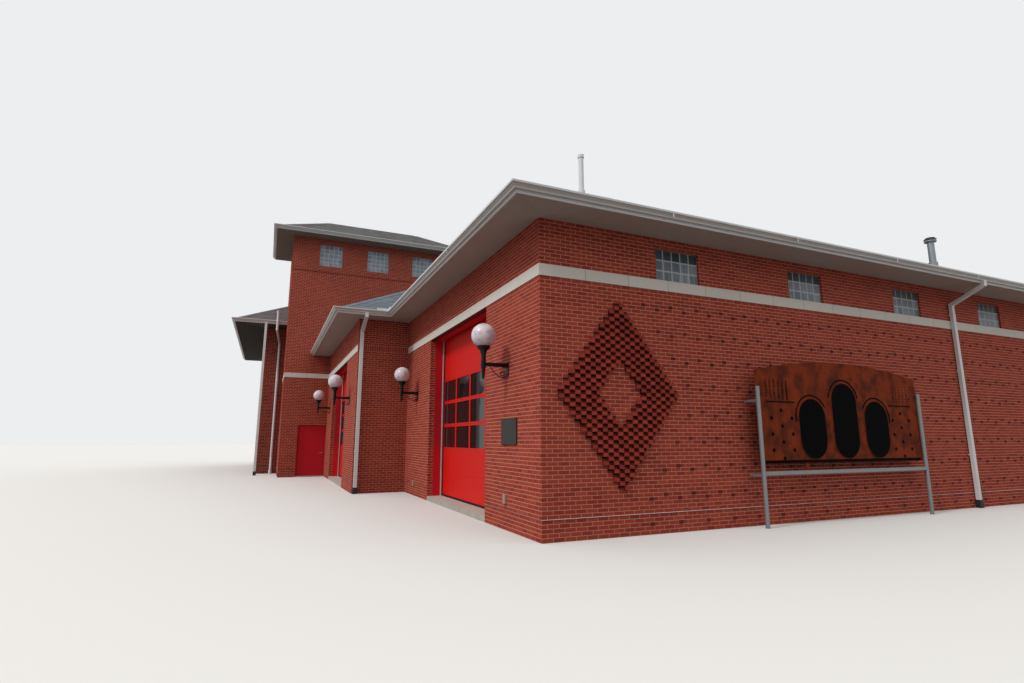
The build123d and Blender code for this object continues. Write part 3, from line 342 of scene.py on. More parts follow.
def make_materials():
    """Makes every finish."""
    brick, roof, fit = settings("brick"), settings("roof"), settings("fitting")
    for name, (code, rough, metal, gloss, *grain) in FINISHES.items():
        kind, _, field = code.partition(".")
        base = getattr(settings(kind), field) if field else linear(code)
        _, tree, shader = finish(name, base, rough, metal, gloss)
        if grain:
            mottle(tree, shader, base, *grain)

    # Wire-cut clay brick: matt, each brick fired a little differently, with a sandy face
    _, tree, shader = finish("clay_brick", brick.middle, 0.88, gloss=0.2)
    # The tones under 0.16 run down to near black: the lozenge, the wing and the tower's recessed course use them for
    # painted shade and shadow.
    toned(tree, shader, [(0.0, scaled(brick.dark, 0.1)), (0.08, scaled(brick.dark, 0.4)), (0.16, brick.dark),
                         (0.5, brick.middle), (1.0, brick.light)], 0.012, 0.1, 0.0008)
    # Sawn limestone: matt and nearly even, with faint clouding
    _, tree, shader = finish("sawn_limestone", brick.stone, 0.8)
    toned(tree, shader, [(0.0, scaled(brick.stone, 0.97)), (1.0, scaled(brick.stone, 1.03))], 0.02, 0.035, 0.0004)
    # Asphalt shingles: mineral granules, so matt and speckled, each tab its own shade
    for name in ("blue_shingle", "grey_shingle"):
        base = getattr(roof, name)
        _, tree, shader = finish(name, base, 0.93)
        toned(tree, shader, [(0.0, scaled(base, 0.74)), (0.5, base), (1.0, scaled(base, 1.24))], 0.02, 0.25, 0.002)
    # Pressed glass blocks: reeded and wavy, greenish where the hall behind is dark; the darkest tones carry the painted
    # shade of the windows' top rows.
    _, tree, shader = finish("pressed_glass", linear("#3A434A"), 0.28, gloss=0.25, IOR=1.5)
    out = toned(tree, shader, [(0.0, linear("#0B1715")), (0.3, linear("#1E2E2C")), (0.6, linear("#485560")),
                               (1.0, linear("#A9B6C4"))], 0.03, 0.12, 0.003)
    reeds = clouds(tree, 1.0, 2.0, squash=(1 / 0.025, 1 / 0.025, 1 / 0.4))
    shine = add(tree, "ShaderNodeValToRGB", {0: reeds}, [(0.35, (0.55, 0.55, 0.55)), (0.65, (1.0, 1.0, 1.0))])
    out = add(tree, "ShaderNodeMix", {6: out, 7: shine.outputs[0]}, **MULTIPLY)
    tree.links.new(out.outputs[2], shader.inputs["Base Color"])
    # Acrylic globes: milky white, cloudy, with a soft gloss and a little light passing through
    _, tree, shader = finish("milky_acrylic", fit.globe, 0.2, Subsurface_Weight=0.3,
                             Subsurface_Radius=(0.05, 0.045, 0.05))
    out = add(tree, "ShaderNodeValToRGB", {0: clouds(tree, 0.11, 3.0, 0.55)},
              [(0.34, linear("#C0B2C4")), (0.5, fit.globe), (0.6, linear("#E0CED2")), (0.72, linear("#EFE8EE"))])
    tree.links.new(out.outputs[0], shader.inputs["Base Color"])
    # Weathering steel: a dark coat of rust with orange blotches and runs, matt
    _, tree, shader = finish("weathering_steel", fit.rust, 0.9, 0.1, 0.2)
    out = add(tree, "ShaderNodeValToRGB", {0: clouds(tree, 0.3, 7.0, 0.62, (1, 1, 0.85))},
              [(0.30, linear("#431A0F")), (0.44, linear("#5E230F")), (0.54, fit.rust), (0.66, linear("#873312")),
               (0.78, linear("#682410"))])
    tree.links.new(out.outputs[0], shader.inputs["Base Color"])
    pits = add(tree, "ShaderNodeBump", {"Height": clouds(tree, 0.012, 3.0)}, Strength=0.5, Distance=0.001)
    tree.links.new(pits.outputs[0], shader.inputs["Normal"])


def material(name):
    if name not in bpy.data.materials:
        make_materials()
    return bpy.data.materials[name]


def paint(finish_name, *names):
    """Gives CAD nodes a finish."""
    for name in names:
        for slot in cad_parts[name].material_slots:
            slot.material = material(finish_name)


# Modelling helpers

TURNS = {"X": (0, math.pi / 2, 0), "Y": (math.pi / 2, 0, 0), "Z": (0, 0, 0)}


def begin(name, operator, **values):
    """Runs an add operator with nothing else selected, names what it made and puts its place in its mesh."""
    bpy.ops.object.select_all(action="DESELECT")
    operator(**values)
    made = bpy.context.object
    made.name = made.data.name = name
    bpy.ops.object.transform_apply(location=True, rotation=True, scale=True)
    return made


def box(name, low, high):
    """Box between two corners."""
    low, high = Vector(low), Vector(high)
    return begin(name, bpy.ops.mesh.primitive_cube_add, size=1, location=(low + high) / 2, scale=high - low)


def cylinder(name, radius, depth, place, axis="Z", sides=24):
    """Cylinder along an axis."""
    return begin(name, bpy.ops.mesh.primitive_cylinder_add, vertices=sides, radius=radius, depth=depth,
                 location=place, rotation=TURNS[axis])


def ring(radius, thick, place, axis="Z", segments=(28, 8)):
    """Torus round an axis."""
    return begin("ring", bpy.ops.mesh.primitive_torus_add, major_radius=radius, minor_radius=thick,
                 major_segments=segments[0], minor_segments=segments[1], location=place, rotation=TURNS[axis])


def carve(test, *steps, points=False):
    """In edit mode, selects the faces or points whose middle and normal pass a test and runs (operator, values) on
    them."""
    bpy.ops.object.mode_set(mode="EDIT")
    bpy.ops.mesh.select_mode(type="VERT" if points else "FACE")
    mesh = bmesh.from_edit_mesh(bpy.context.object.data)
    for item in mesh.verts if points else mesh.faces:
        item.select_set(bool(test(item.co if points else item.calc_center_median(), item.normal)))
    mesh.select_flush_mode()
    bmesh.update_edit_mesh(bpy.context.object.data)
    for operator, values in steps:
        operator(**values)
    bpy.ops.object.mode_set(mode="OBJECT")


def cut_off(place, normal):
    """Cuts the active piece at a plane, closes it there and leaves what lies on the normal's side."""
    carve(lambda middle, way: True,
          (bpy.ops.mesh.bisect, {"plane_co": place, "plane_no": normal, "use_fill": True, "clear_inner": True}))


def bevel(piece, width, **values):
    """Bevels a piece with a modifier and applies it."""
    bpy.ops.object.select_all(action="DESELECT")
    bpy.context.view_layer.objects.active = piece
    piece.select_set(True)
    bpy.ops.object.modifier_add(type="BEVEL")
    modifier = piece.modifiers[-1]
    for key, value in {"width": width, "segments": 2, **values}.items():
        setattr(modifier, key, value)
    bpy.ops.object.modifier_apply(modifier=modifier.name)
    return piece


def keep(name, pieces, finish_name, body=BODY):
    """Joins new pieces into one and gives it its name, finish and body."""
    piece = pieces[0]
    bpy.ops.object.select_all(action="DESELECT")
    for part in pieces:
        part.select_set(True)
    bpy.context.view_layer.objects.active = piece
    if len(pieces) > 1:
        bpy.ops.object.join()
    piece.name = piece.data.name = name
    piece.data.materials.clear()
    piece.data.materials.append(material(finish_name))
    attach(piece, body)
    return piece


class Pile:
    """Copies of a unit piece. Each has its origin, its edges a and b, how it stands out at the foot and at the head of
    b, and its tone."""

    def __init__(self):
        self.places, self.tones = [], []

    def put(self, origin, a, b, low, high=None, tone=0.5):
        self.places.append((origin, a, b, low, low if high is None else high))
        self.tones.append(tone)


def unit_brick():
    """Unit cube from 0 to 1 with no back, which lies on the mortar."""
    made = box("brick_unit", (0, 0, 0), (1, 1, 1))
    carve(lambda middle, normal: normal.z < -0.5, (bpy.ops.mesh.delete, {"type": "FACE"}))
    return made


def unit_glass_block():
    """Unit glass block: rounded rim and a face that swells a little."""
    made = unit_brick()
    for thickness, depth in ((0.05, 0.3), (0.05, 0.14), (0.12, -0.1)):
        carve(lambda middle, normal: normal.z > 0.9 and max(abs(middle.x - 0.5), abs(middle.y - 0.5)) < 0.01,
              (bpy.ops.mesh.inset, {"thickness": thickness}), (bpy.ops.transform.translate, {"value": (0, 0, depth)}))
    return made


def unit_rivet():
    """Unit rivet with a domed head."""
    made = cylinder("rivet_unit", 0.5, 1, (0.5, 0.5, 0.5), "Z", 10)
    carve(lambda middle, normal: normal.z > 0.9, (bpy.ops.transform.resize, {"value": (0.6, 0.6, 1)}))
    return made


def lay(name, pile, finish_name, make_unit=unit_brick, rim=0.0):
    """Keeps one joined mesh of a pile's copies of a unit. Rim is added to the tone of the faces at the unit's edge."""
    places = np.asarray(pile.places, dtype=float).reshape(-1, 5, 3)
    unit = make_unit()
    mesh = unit.data
    count, per = len(places), len(mesh.vertices)
    local = np.array([tuple(v.co) for v in mesh.vertices])
    faces = [tuple(p.vertices) for p in mesh.polygons]
    u, v, w = local[:, 0, None], local[:, 1, None], local[:, 2, None]
    origin, a, b, low, high = (places[:, i, None, :] for i in range(5))
    points = origin + a * u + b * v + (low * (1 - v) + high * v) * w
    sizes = np.tile([len(f) for f in faces], count)
    loops = (np.concatenate(faces)[None, :] + per * np.arange(count)[:, None]).ravel()
    made = bpy.data.meshes.new(name)
    made.vertices.add(count * per)
    made.vertices.foreach_set("co", points.ravel())
    made.loops.add(len(loops))
    made.loops.foreach_set("vertex_index", loops)
    made.polygons.add(len(sizes))
    made.polygons.foreach_set("loop_start", np.concatenate([[0], np.cumsum(sizes)[:-1]]))
    middles = np.array([tuple(p.center) for p in mesh.polygons])[:, :2]
    lift = rim * (abs(middles - 0.5).max(axis=1) > 0.4)
    shades = np.asarray(pile.tones, dtype=float)[:, None] + lift[None, :]
    made.attributes.new("tone", "FLOAT", "FACE").data.foreach_set("value", shades.ravel())
    made.update(calc_edges=True)
    made.validate()
    made.shade_flat()
    bpy.data.objects.remove(unit, do_unlink=True)
    piece = bpy.data.objects.new(name, made)
    bpy.context.collection.objects.link(piece)
    keep(name, [piece], finish_name)


# Brickwork

def cut_spans(low, high, holes):
    """What is left of a span after its holes are taken out."""
    spans = [(low, high)]
    for start, end in holes:
        left = []
        for a, b in spans:
            if end <= a or start >= b:
                left.append((a, b))
                continue
            left += [(a, start)] * bool(start > a) + [(end, b)] * bool(end < b)
        spans = left
    return [(a, b) for a, b in spans if b - a > 0.012]


class Face:
    """An upright wall face: where it starts at the ground, its run along the wall, and which way it looks."""

    def __init__(self, start, along, width, low=0.0, high=None, holes=(), lap=(0.0, 0.0), tones=(0.36, 0.86)):
        self.start = np.array([start[0], start[1], 0.0])
        self.along = np.array(along, dtype=float)
        self.out = np.cross(self.along, Z)
        self.width, self.low, self.high = width, low, high
        self.holes, self.lap, self.tones = list(holes), lap, tones

    def at(self, s, z=0.0):
        """Point of the face at a distance along it and a height."""
        return self.start + self.along * s + Z * z

    def spans(self, z):
        """What the holes leave of the face at a height."""
        holes = [hole[:2] for hole in self.holes if hole[2] < z < hole[3]]
        return cut_spans(-self.lap[0], self.width + self.lap[1], holes)

    def window_holes(self, boxes):
        """Adds the windows that lie in this face, and returns them."""
        found = []
        for low, high in boxes:
            middle = (low + high) / 2 - self.start
            s = middle @ self.along
            if abs(middle @ self.out) < 0.25 and 0 < s < self.width:
                half = abs((high - low) @ self.along) / 2
                found.append((s - half, s + half, low[2], high[2]))
        self.holes += found
        return found


def lay_courses(pile, face, rng, cell=None, raised=None):
    """Bricks of one face, with the corbelled ones in a pile of their own. A cell may change a brick: it gives its
    depth, the range of its tone and its joint, and for a recess the share of its height under a strip of painted
    shadow and that strip's range of tone, or None."""
    brick = settings("brick")
    for row in range(int(round(face.low / brick.course)), int(round(face.high / brick.course))):
        z0, z1 = row * brick.course, (row + 1) * brick.course
        shift = brick.brick / 2 if row % 2 else 0.0
        for a, b in face.spans((z0 + z1) / 2):
            index = math.floor((a + 1e-6 - shift) / brick.brick)
            s = a
            while s < b - 0.004:
                end = min(b, (index + 1) * brick.brick + shift)
                half = index * brick.brick + shift + brick.brick / 2
                split = cell and s < half < end and (cell(s, half, row) or cell(half, end, row))
                for p, q in [(s, half), (half, end)] if split else [(s, end)]:
                    depth, tone, joint = brick.proud, rng.uniform(*face.tones), brick.joint
                    changed = cell(p, q, row) if cell else None
                    if changed:
                        depth, tone, joint = changed[0], rng.uniform(*changed[1]), changed[2]
                        if len(changed) > 3:
                            tall = brick.course * changed[3]
                            pile.put(face.at(p, z1 - tall), face.along * (q - p), Z * tall, face.out * (depth + 0.001),
                                     tone=rng.uniform(*changed[4]))
                    lower = p if p <= a + 1e-6 else p + joint / 2
                    upper = q if q >= b - 1e-6 else q - joint / 2
                    if upper - lower > 0.008:
                        (raised if depth == brick.corbel else pile).put(
                            face.at(lower, z0 + joint / 2), face.along * (upper - lower), Z * (brick.course - joint),
                            face.out * depth, tone=tone)
                s = end
                index += 1


def lay_soldiers(pile, face, low, high, rng):
    """Upright bricks in one tall course."""
    brick = settings("brick")
    count = int(round((face.width + sum(face.lap)) / brick.course))
    step = (face.width + sum(face.lap)) / count
    for i in range(count):
        s = -face.lap[0] + i * step
        lower = s + (brick.joint / 2 if i else 0)
        upper = s + step - (brick.joint / 2 if i < count - 1 else 0)
        pile.put(face.at(lower, low + brick.joint / 2), face.along * (upper - lower), Z * (high - low - brick.joint),
                 face.out * brick.proud, tone=rng.uniform(*face.tones))


def opening_sides(face, hole, depth):
    """The two upright sides of an opening, as faces that look into it."""
    start, end, low, high = hole
    proud = settings("brick").proud
    return [Face(face.at(start), -face.out, depth, low, high, lap=(proud, 0)),
            Face(face.at(end) - face.out * depth, face.out, depth, low, high, lap=(0, proud))]


def lay_head(pile, face, hole, depth, rng):
    """Bricks on the underside of an opening's head."""
    brick = settings("brick")
    start, end, _, high = hole
    count = int(round((end - start) / brick.course))
    step = (end - start) / count
    for i in range(count):
        pile.put(face.at(start + i * step + brick.joint / 2, high) - face.out * depth,
                 face.along * (step - brick.joint), face.out * (depth + brick.proud), -Z * brick.proud,
                 tone=rng.uniform(*face.tones))


def in_lozenge(s, z, grow=0.0):
    """How a point of the side wall lies to the lozenge: 1 in its ring, 0 in its middle, -1 outside."""
    s0, z0, half_s, half_z, inner = LOZENGE
    reach = abs(s - s0) / (half_s + grow) + abs(z - z0) / (half_z + grow)
    if reach > 1:
        return -1
    return 1 if reach > inner else 0


def side_cell(start, end, row):
    """Headers of the lozenge and of the scattered marks on the side wall."""
    brick = settings("brick")
    s, z = (start + end) / 2, (row + 0.5) * brick.course
    if end - start > brick.brick * 0.75 or z > BAND_LOW:
        return None
    shift = brick.brick / 2 if row % 2 else 0.0
    first_half = (s - shift) % brick.brick < brick.brick / 2
    if in_lozenge(s, z) == 1:
        if first_half:
            return brick.corbel, (0.36, 0.72), 0.005
        # Between the raised headers: a darker brick laid over its joints, with a near-black strip over its upper 48%:
        # painted shade and painted shadow of the header above.
        return brick.proud, (0.16, 0.3), 0.0, 0.48, (0.0, 0.04)
    first, top, rise, run = MARKS
    if s < first or in_lozenge(s, z, 0.32) >= 0 or not first_half or row < 2 or (top - row) % rise > 1:
        return None
    place = (s / brick.brick - 0.25) % run
    if abs(place - (2.5 if row % 2 else 1.0)) > 0.1:
        return None
    return brick.mark, (0.09, 0.15), brick.joint


def wall_faces():
    """Every outside face, by the name of the piece that its bricks make."""
    proud, course = settings("brick").proud, settings("brick").course
    band = (-FAR, FAR, BAND_LOW, BAND_HIGH)
    doors = sorted(solid_boxes("bay_door_frames"), key=lambda ends: ends[0][0])
    low, high = corners("tower_door_frame")
    to_bay = FRONT_B - TOWER_F
    tower_right = [(low[1] - TOWER_F, high[1] - TOWER_F, 0.0, high[2]), (to_bay, FAR, -1.0, BAY_TOP),
                   (-FAR, to_bay, BAND_LOW, BAND_HIGH)]

    def doorway(door, start):
        return door[0][0] - start, door[1][0] - start, 0.0, door[1][2]

    # side of the outline, how far the bricks lap over each end, and holes
    rows = {
        "side_wall": ("bays", 3, (proud, proud), [band]),
        "bay_a_front": ("bays", 2, (0, 0), [band, doorway(doors[-1], STEP_X)]),
        "bay_b_front": ("bays", 0, (0, 0), [band, doorway(doors[0], TOWER_R)]),
        "step_wall": ("bays", 1, (proud, 0), [band]),
        "rear_wall": ("bays", 4, (0, 0), [band]),
        "bay_left": ("bays", 5, (proud, 0), [band]),
        "tower_right": ("tower", 1, (proud, proud), tower_right),
        "tower_front": ("tower", 0, (0, 0), [band]),
        "tower_left": ("tower", 3, (proud, proud), []),
        "tower_rear": ("tower", 2, (0, 0), []),
        "wing_front": ("wing", 2, (0, 0), [band]),
        "wing_corner": ("wing", 3, (proud, 0), [band]),
        "wing_left": ("wing", 1, (proud, proud), [band]),
        "wing_rear": ("wing", 0, (0, 0), [band]),
    }
    windows = [ends for kind in ("bay", "tower", "wing") for ends in solid_boxes(kind + "_windows")]
    faces = {}
    for name, (kind, side, lap, holes) in rows.items():
        points = OUTLINES[kind][0]
        foot = TOPS["wing"] if name == "tower_left" else 0
        face = Face(*run_between(points[side], points[side + 1]), foot, TOPS[kind], holes, lap)
        face.doors = [hole for hole in holes if hole[2] == 0.0]
        face.windows = face.window_holes(windows)
        if kind == "tower":
            face.holes.append((-FAR, FAR, GROOVE * course, (GROOVE + 1) * course))
        # The wing's bricks take only the darker tones: painted shade, as that wall stands in the shade of the tower and
        # the wing's eave.
        if kind == "wing":
            face.tones = (0.1, 0.4)
        faces[name + "_bricks"] = face
    return faces


def lay_inner_blocks(pile, rng):
    """Painted block on the inside of the tower's walls, in courses of three bricks."""
    wall = SIDE_X - corners("side_wall")[0][0]
    left, front, right, back = TOWER_L + wall, TOWER_F + wall, TOWER_R - wall, TOWER_B - wall
    floor, ceiling = 0.020, TOPS["tower"] - 0.01
    length, height, joint, depth = 0.4064, 0.2032, 0.010, 0.003
    door_low, door_high = corners("tower_door_frame")
    turns = [(right, back), (left, back), (left, front), (right, front), (right, back)]
    for start, along, width in runs_through(turns):
        inner = Face(start, along, width)
        inner.window_holes(solid_boxes("tower_windows"))
        if along[1] > 0.5:
            inner.holes.append((door_low[1] - start[1], door_high[1] - start[1], 0.0, door_high[2]))
        for row in range(int((ceiling - floor) / height)):
            z = floor + row * height
            shift = length / 2 * (row % 2)
            for a, b in inner.spans(z + height / 2):
                s = a
                while s < b - 0.02:
                    end = min(b, (math.floor((s - shift) / length + 1e-6) + 1) * length + shift)
                    span = along * (end - s - joint)
                    pile.put(inner.at(s + joint / 2, z + joint / 2) + span, -span, Z * (height - joint),
                             -inner.out * depth, tone=rng.random())
                    s = end


class OBJECT_OT_station_bricks(bpy.types.Operator):
    """Lay the bricks of every outside wall, with the lozenge of raised headers"""
    bl_idname = "object.station_bricks"
    bl_label = "Bricks"

    def execute(self, context):
        rng = np.random.default_rng(SEED)
        brick = settings("brick")
        for name, face in wall_faces().items():
            pile, raised = Pile(), Pile()
            lay_courses(pile, face, rng, side_cell if name == "side_wall_bricks" else None, raised)
            if name.startswith(("wing", "step")):
                lay_soldiers(pile, face, BAND_LOW, BAND_HIGH, rng)
            if name.startswith("tower"):
                # The recessed course is laid in dark tones: painted shade in the recess.
                lay_courses(pile, Face(face.start - face.out * GROOVE_DEPTH, face.along, face.width,
                                       GROOVE * brick.course, (GROOVE + 1) * brick.course,
                                       lap=(-GROOVE_DEPTH, -GROOVE_DEPTH), tones=(0.12, 0.2)), rng)
            for hole in face.doors:
                for side in opening_sides(face, hole, BAY_REVEAL if name.startswith("bay") else TOWER_REVEAL):
                    lay_courses(pile, side, rng)
            for hole in face.windows:
                for side in opening_sides(face, hole, WINDOW_REVEAL):
                    lay_courses(pile, side, rng)
                lay_head(pile, face, hole, WINDOW_REVEAL, rng)
            # The raised headers' sides take a tone 0.34 lower than their faces: painted shade.
            if raised.places:
                lay("lozenge_headers", raised, "clay_brick", rim=-0.34)
            lay(name, pile, "clay_brick")
        pile = Pile()
        lay_inner_blocks(pile, rng)
        lay("tower_inner_blocks", pile, "painted_block")
        paint("mortar", *[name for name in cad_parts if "wall" in name or "piers" in name])
        return {"FINISHED"}


class OBJECT_OT_station_flashing(bpy.types.Operator):
    """Run the flashing over the fifth course, with a black strip under it as painted shadow"""
    bl_idname = "object.station_flashing"
    bl_label = "Flashing"

    def execute(self, context):
        z = FLASHING_COURSE * settings("brick").course
        side, edges, joints = Pile(), Pile(), Pile()
        for name, face in wall_faces().items():
            if face.low > z:
                continue
            for a, b in face.spans(z):
                along, out = face.along * (b - a), face.out
                (side if name == "side_wall_bricks" else edges).put(face.at(a, z - 0.001), along, Z * 0.006,
                                                                    out * 0.011, out * 0.009)
                # A black strip in the joint under the flashing: painted shadow of its edge.
                joints.put(face.at(a, z - 0.006), along, Z * 0.005, out * 0.0033)
        lay("side_flashing_edges", side, "vinyl_strip")
        lay("flashing_edges", edges, "cast_zinc")
        lay("flashing_joints", joints, "rubber_seal")
        return {"FINISHED"}


class OBJECT_OT_station_band(bpy.types.Operator):
    """Set the limestone band stone by stone"""
    bl_idname = "object.station_band"
    bl_label = "Stone band"

    def execute(self, context):
        rng = np.random.default_rng(SEED + 1)
        reach = corners("stone_band")[1][0] - SIDE_X
        proud, stone, joint = 0.003, 0.884, 0.007
        side, left, tower = SIDE_X + reach, BAY_LEFT_X - reach, TOWER_R + reach
        front_a, front_b, front, rear = FRONT_A - reach, FRONT_B - reach, TOWER_F - reach, REAR_Y + reach
        runs = [((side, front_a), (side, rear), (proud, proud)), ((STEP_X, front_a), (side, front_a), (0, 0)),
                ((tower, front_b), (STEP_X, front_b), (0, 0)), ((tower, front), (tower, front_b), (proud, 0)),
                ((TOWER_L, front), (tower, front), (0, 0)), ((side, rear), (left, rear), (0, 0)),
                ((left, rear), (left, TOWER_B), (proud, 0))]
        pile = Pile()
        for start, end, lap in runs:
            face = Face(*run_between(start, end))
            count = max(1, int(round(face.width / stone)))
            step = face.width / count
            for i in range(count):
                lower = i * step + (joint / 2 if i else -lap[0])
                upper = (i + 1) * step - (joint / 2 if i < count - 1 else -lap[1])
                pile.put(face.at(lower, BAND_LOW), face.along * (upper - lower), Z * (BAND_HIGH - BAND_LOW),
                         face.out * proud, tone=rng.random())
        lay("band_stones", pile, "sawn_limestone")
        # The frame's band behind the stones takes the dark of the sealant: the real joints between stones, and along
        # its underside a dark line of painted shade.
        paint("joint_sealant", "stone_band")
        return {"FINISHED"}


class OBJECT_OT_station_glass_blocks(bpy.types.Operator):
    """Fill the windows with glass blocks"""
    bl_idname = "object.station_glass_blocks"
    bl_label = "Glass blocks"

    def execute(self, context):
        rng = np.random.default_rng(SEED + 2)
        joint, depth = 0.020, 0.0025
        size = GLASS_PITCH - joint
        faces = list(wall_faces().values())
        # Each kind of window has its own base tone, palest on the tower; the darker top row of each window is painted
        # shade and painted reflection of the eaves.
        for kind, base, top_row_painted_shade in (("bay", 0.8, 0.36), ("tower", 0.95, 0.1), ("wing", 0.6, 0.3)):
            pile = Pile()
            for low, high in solid_boxes(kind + "_windows"):
                face = min(faces, key=lambda f: abs((low + high - 2 * f.start) @ f.out / 2 + 0.09)
                           if 0 < ((low + high) / 2 - f.start) @ f.along < f.width else 9)
                near, far = low - face.start, high - face.start
                start, end = sorted((near @ face.along, far @ face.along))
                outer = max(near @ face.out, far @ face.out)
                rows = round((high[2] - low[2]) / GLASS_PITCH)
                for column in range(round((end - start) / GLASS_PITCH)):
                    for row in range(rows):
                        origin = face.at(start + column * GLASS_PITCH, low[2] + row * GLASS_PITCH)
                        origin = origin + (face.along + Z) * joint / 2 + face.out * outer
                        shade = top_row_painted_shade if row == rows - 1 else 0.0
                        pile.put(origin, face.along * size, Z * size, face.out * depth,
                                 tone=base - shade + 0.2 * (rng.random() - 0.5))
            lay(kind + "_glass_blocks", pile, "pressed_glass", unit_glass_block, 0.1)
            paint("block_mortar", kind + "_windows")
        return {"FINISHED"}


# Roofs

def roof_boxes(name):
    """Plan rectangles of the hips that make a roof, and the height of its edge."""
    low, high = corners(name + "_roof")
    edge = low[2] + ROOF_EDGE
    if name == "bays":
        return [(STEP_X - OVERHANG, high[0], FRONT_A - OVERHANG, high[1]),
                (low[0], STEP_X + OVERHANG, low[1], high[1])], edge
    return [(low[0], TOWER_L + WING_OVERHANG if name == "wing" else high[0], low[1], high[1])], edge


def roof_height(boxes, x, y):
    """Height of the slopes over the eaves at plan points."""
    tops = [np.minimum(np.minimum(x - b[0], b[1] - x), np.minimum(y - b[2], b[3] - y)) for b in boxes]
    return PITCH * np.maximum.reduce(tops)


def in_tower(x, y):
    return (x > TOWER_L) & (x < TOWER_R) & (y > TOWER_F) & (y < TOWER_B)


def lay_shingles(pile, name, rng):
    """Tabs of every slope, cut at hips, valleys and the tower."""
    roof = settings("roof")
    boxes, edge = roof_boxes(name)
    fall = math.hypot(1, PITCH)
    gap, lapped, sample = 0.003, 0.012, 0.02
    for left, right, front, back in boxes:
        run = min(right - left, back - front) / 2
        rows = int(run * fall / roof.exposure)
        height = run * fall / rows
        turns = [(left, front), (right, front), (right, back), (left, back), (left, front)]
        for start, along, width in runs_through(turns):
            up = (np.cross(Z, along) + Z * PITCH) / fall
            out = np.cross(along, up)
            base = np.array([start[0], start[1], edge])
            for row in range(rows):
                s = np.arange(0.0, width, sample)
                points = base + along * s[:, None] + up * (row + 0.5) * height
                top = roof_height(boxes, points[:, 0], points[:, 1]) + edge
                good = abs(points[:, 2] - top) < 0.004
                if name != "tower":
                    good &= ~in_tower(points[:, 0], points[:, 1])
                change = np.flatnonzero(np.diff(np.concatenate([[0], good.astype(int), [0]])))
                shift = (0.0, 0.5, 0.25)[row % 3] * roof.tab
                for p, b in s[np.minimum(change, len(s) - 1)].reshape(-1, 2):
                    while p < b - sample:
                        q = min(b, (math.floor((p - shift) / roof.tab + 1e-6) + 1) * roof.tab + shift)
                        if q - p > sample:
                            pile.put(base + along * (p + gap) + up * (row * height - lapped), along * (q - p - 2 * gap),
                                     up * (height + 0.006), out * (0.009 + 0.003 * rng.random()), out * 0.0015,
                                     rng.random())
                        p = q


def hip_lines(name):
    """Hips and ridges of a roof as (foot, head, slope normals on each side)."""
    boxes, edge = roof_boxes(name)
    lines = []
    for left, right, front, back in boxes:
        run = min(right - left, back - front) / 2
        heads = []
        for x, y, dx, dy in ((left, front, 1, 1), (right, front, -1, 1), (right, back, -1, -1), (left, back, 1, -1)):
            foot, head = np.array([x, y, edge]), np.array([x + dx * run, y + dy * run, edge + PITCH * run])
            lines.append((foot, head, Z - X * dx * PITCH, Z - Y * dy * PITCH))
            heads.append(head)
        if right - left < back - front:
            lines.append((heads[0], heads[3], Z - X * PITCH, Z + X * PITCH))
        else:
            lines.append((heads[0], heads[1], Z - Y * PITCH, Z + Y * PITCH))
    return lines


def lay_caps(pile, name, rng):
    """Cap shingles over hips and ridges, in lapped pairs of leaves."""
    boxes, edge = roof_boxes(name)
    step, half = settings("roof").exposure, 0.14
    for foot, head, *normals in hip_lines(name):
        span = np.linalg.norm(head - foot)
        if span < step:
            continue
        line = (head - foot) / span
        first = half if name == "bays" or foot[2] == edge else 0.0
        for i in range(int((span - first) / step)):
            point = foot + line * (first + (i + 0.5) * step)
            hidden = roof_height(boxes, point[0], point[1]) + edge > point[2] + 0.01
            if hidden or (name != "tower" and in_tower(point[0], point[1])):
                continue
            # Caps take only the upper, lighter tones: painted light along the hips.
            tone = 0.6 + 0.4 * rng.random()
            for normal in normals:
                normal = normal / np.linalg.norm(normal)
                across = np.cross(line, normal)
                if across[:2] @ normal[:2] < 0:
                    across = -across
                origin = foot + line * (first + i * step - 0.012)
                if np.cross(across, line) @ normal < 0:
                    origin, across = origin + across * half, -across
                pile.put(origin, across * half, line * (step + 0.02), normal * 0.02, normal * 0.012, tone)


class OBJECT_OT_station_shingles(bpy.types.Operator):
    """Cover the roofs with shingles and cap the hips"""
    bl_idname = "object.station_shingles"
    bl_label = "Shingles"

    def execute(self, context):
        rng = np.random.default_rng(SEED + 3)
        for name, shingle in (("bays", "blue_shingle"), ("tower", "grey_shingle"), ("wing", "grey_shingle")):
            for lay_one, piece in ((lay_shingles, name + "_shingles"), (lay_caps, name + "_hip_caps")):
                pile = Pile()
                lay_one(pile, name, rng)
                lay(piece, pile, shingle)
            paint(shingle, name + "_roof")
        return {"FINISHED"}


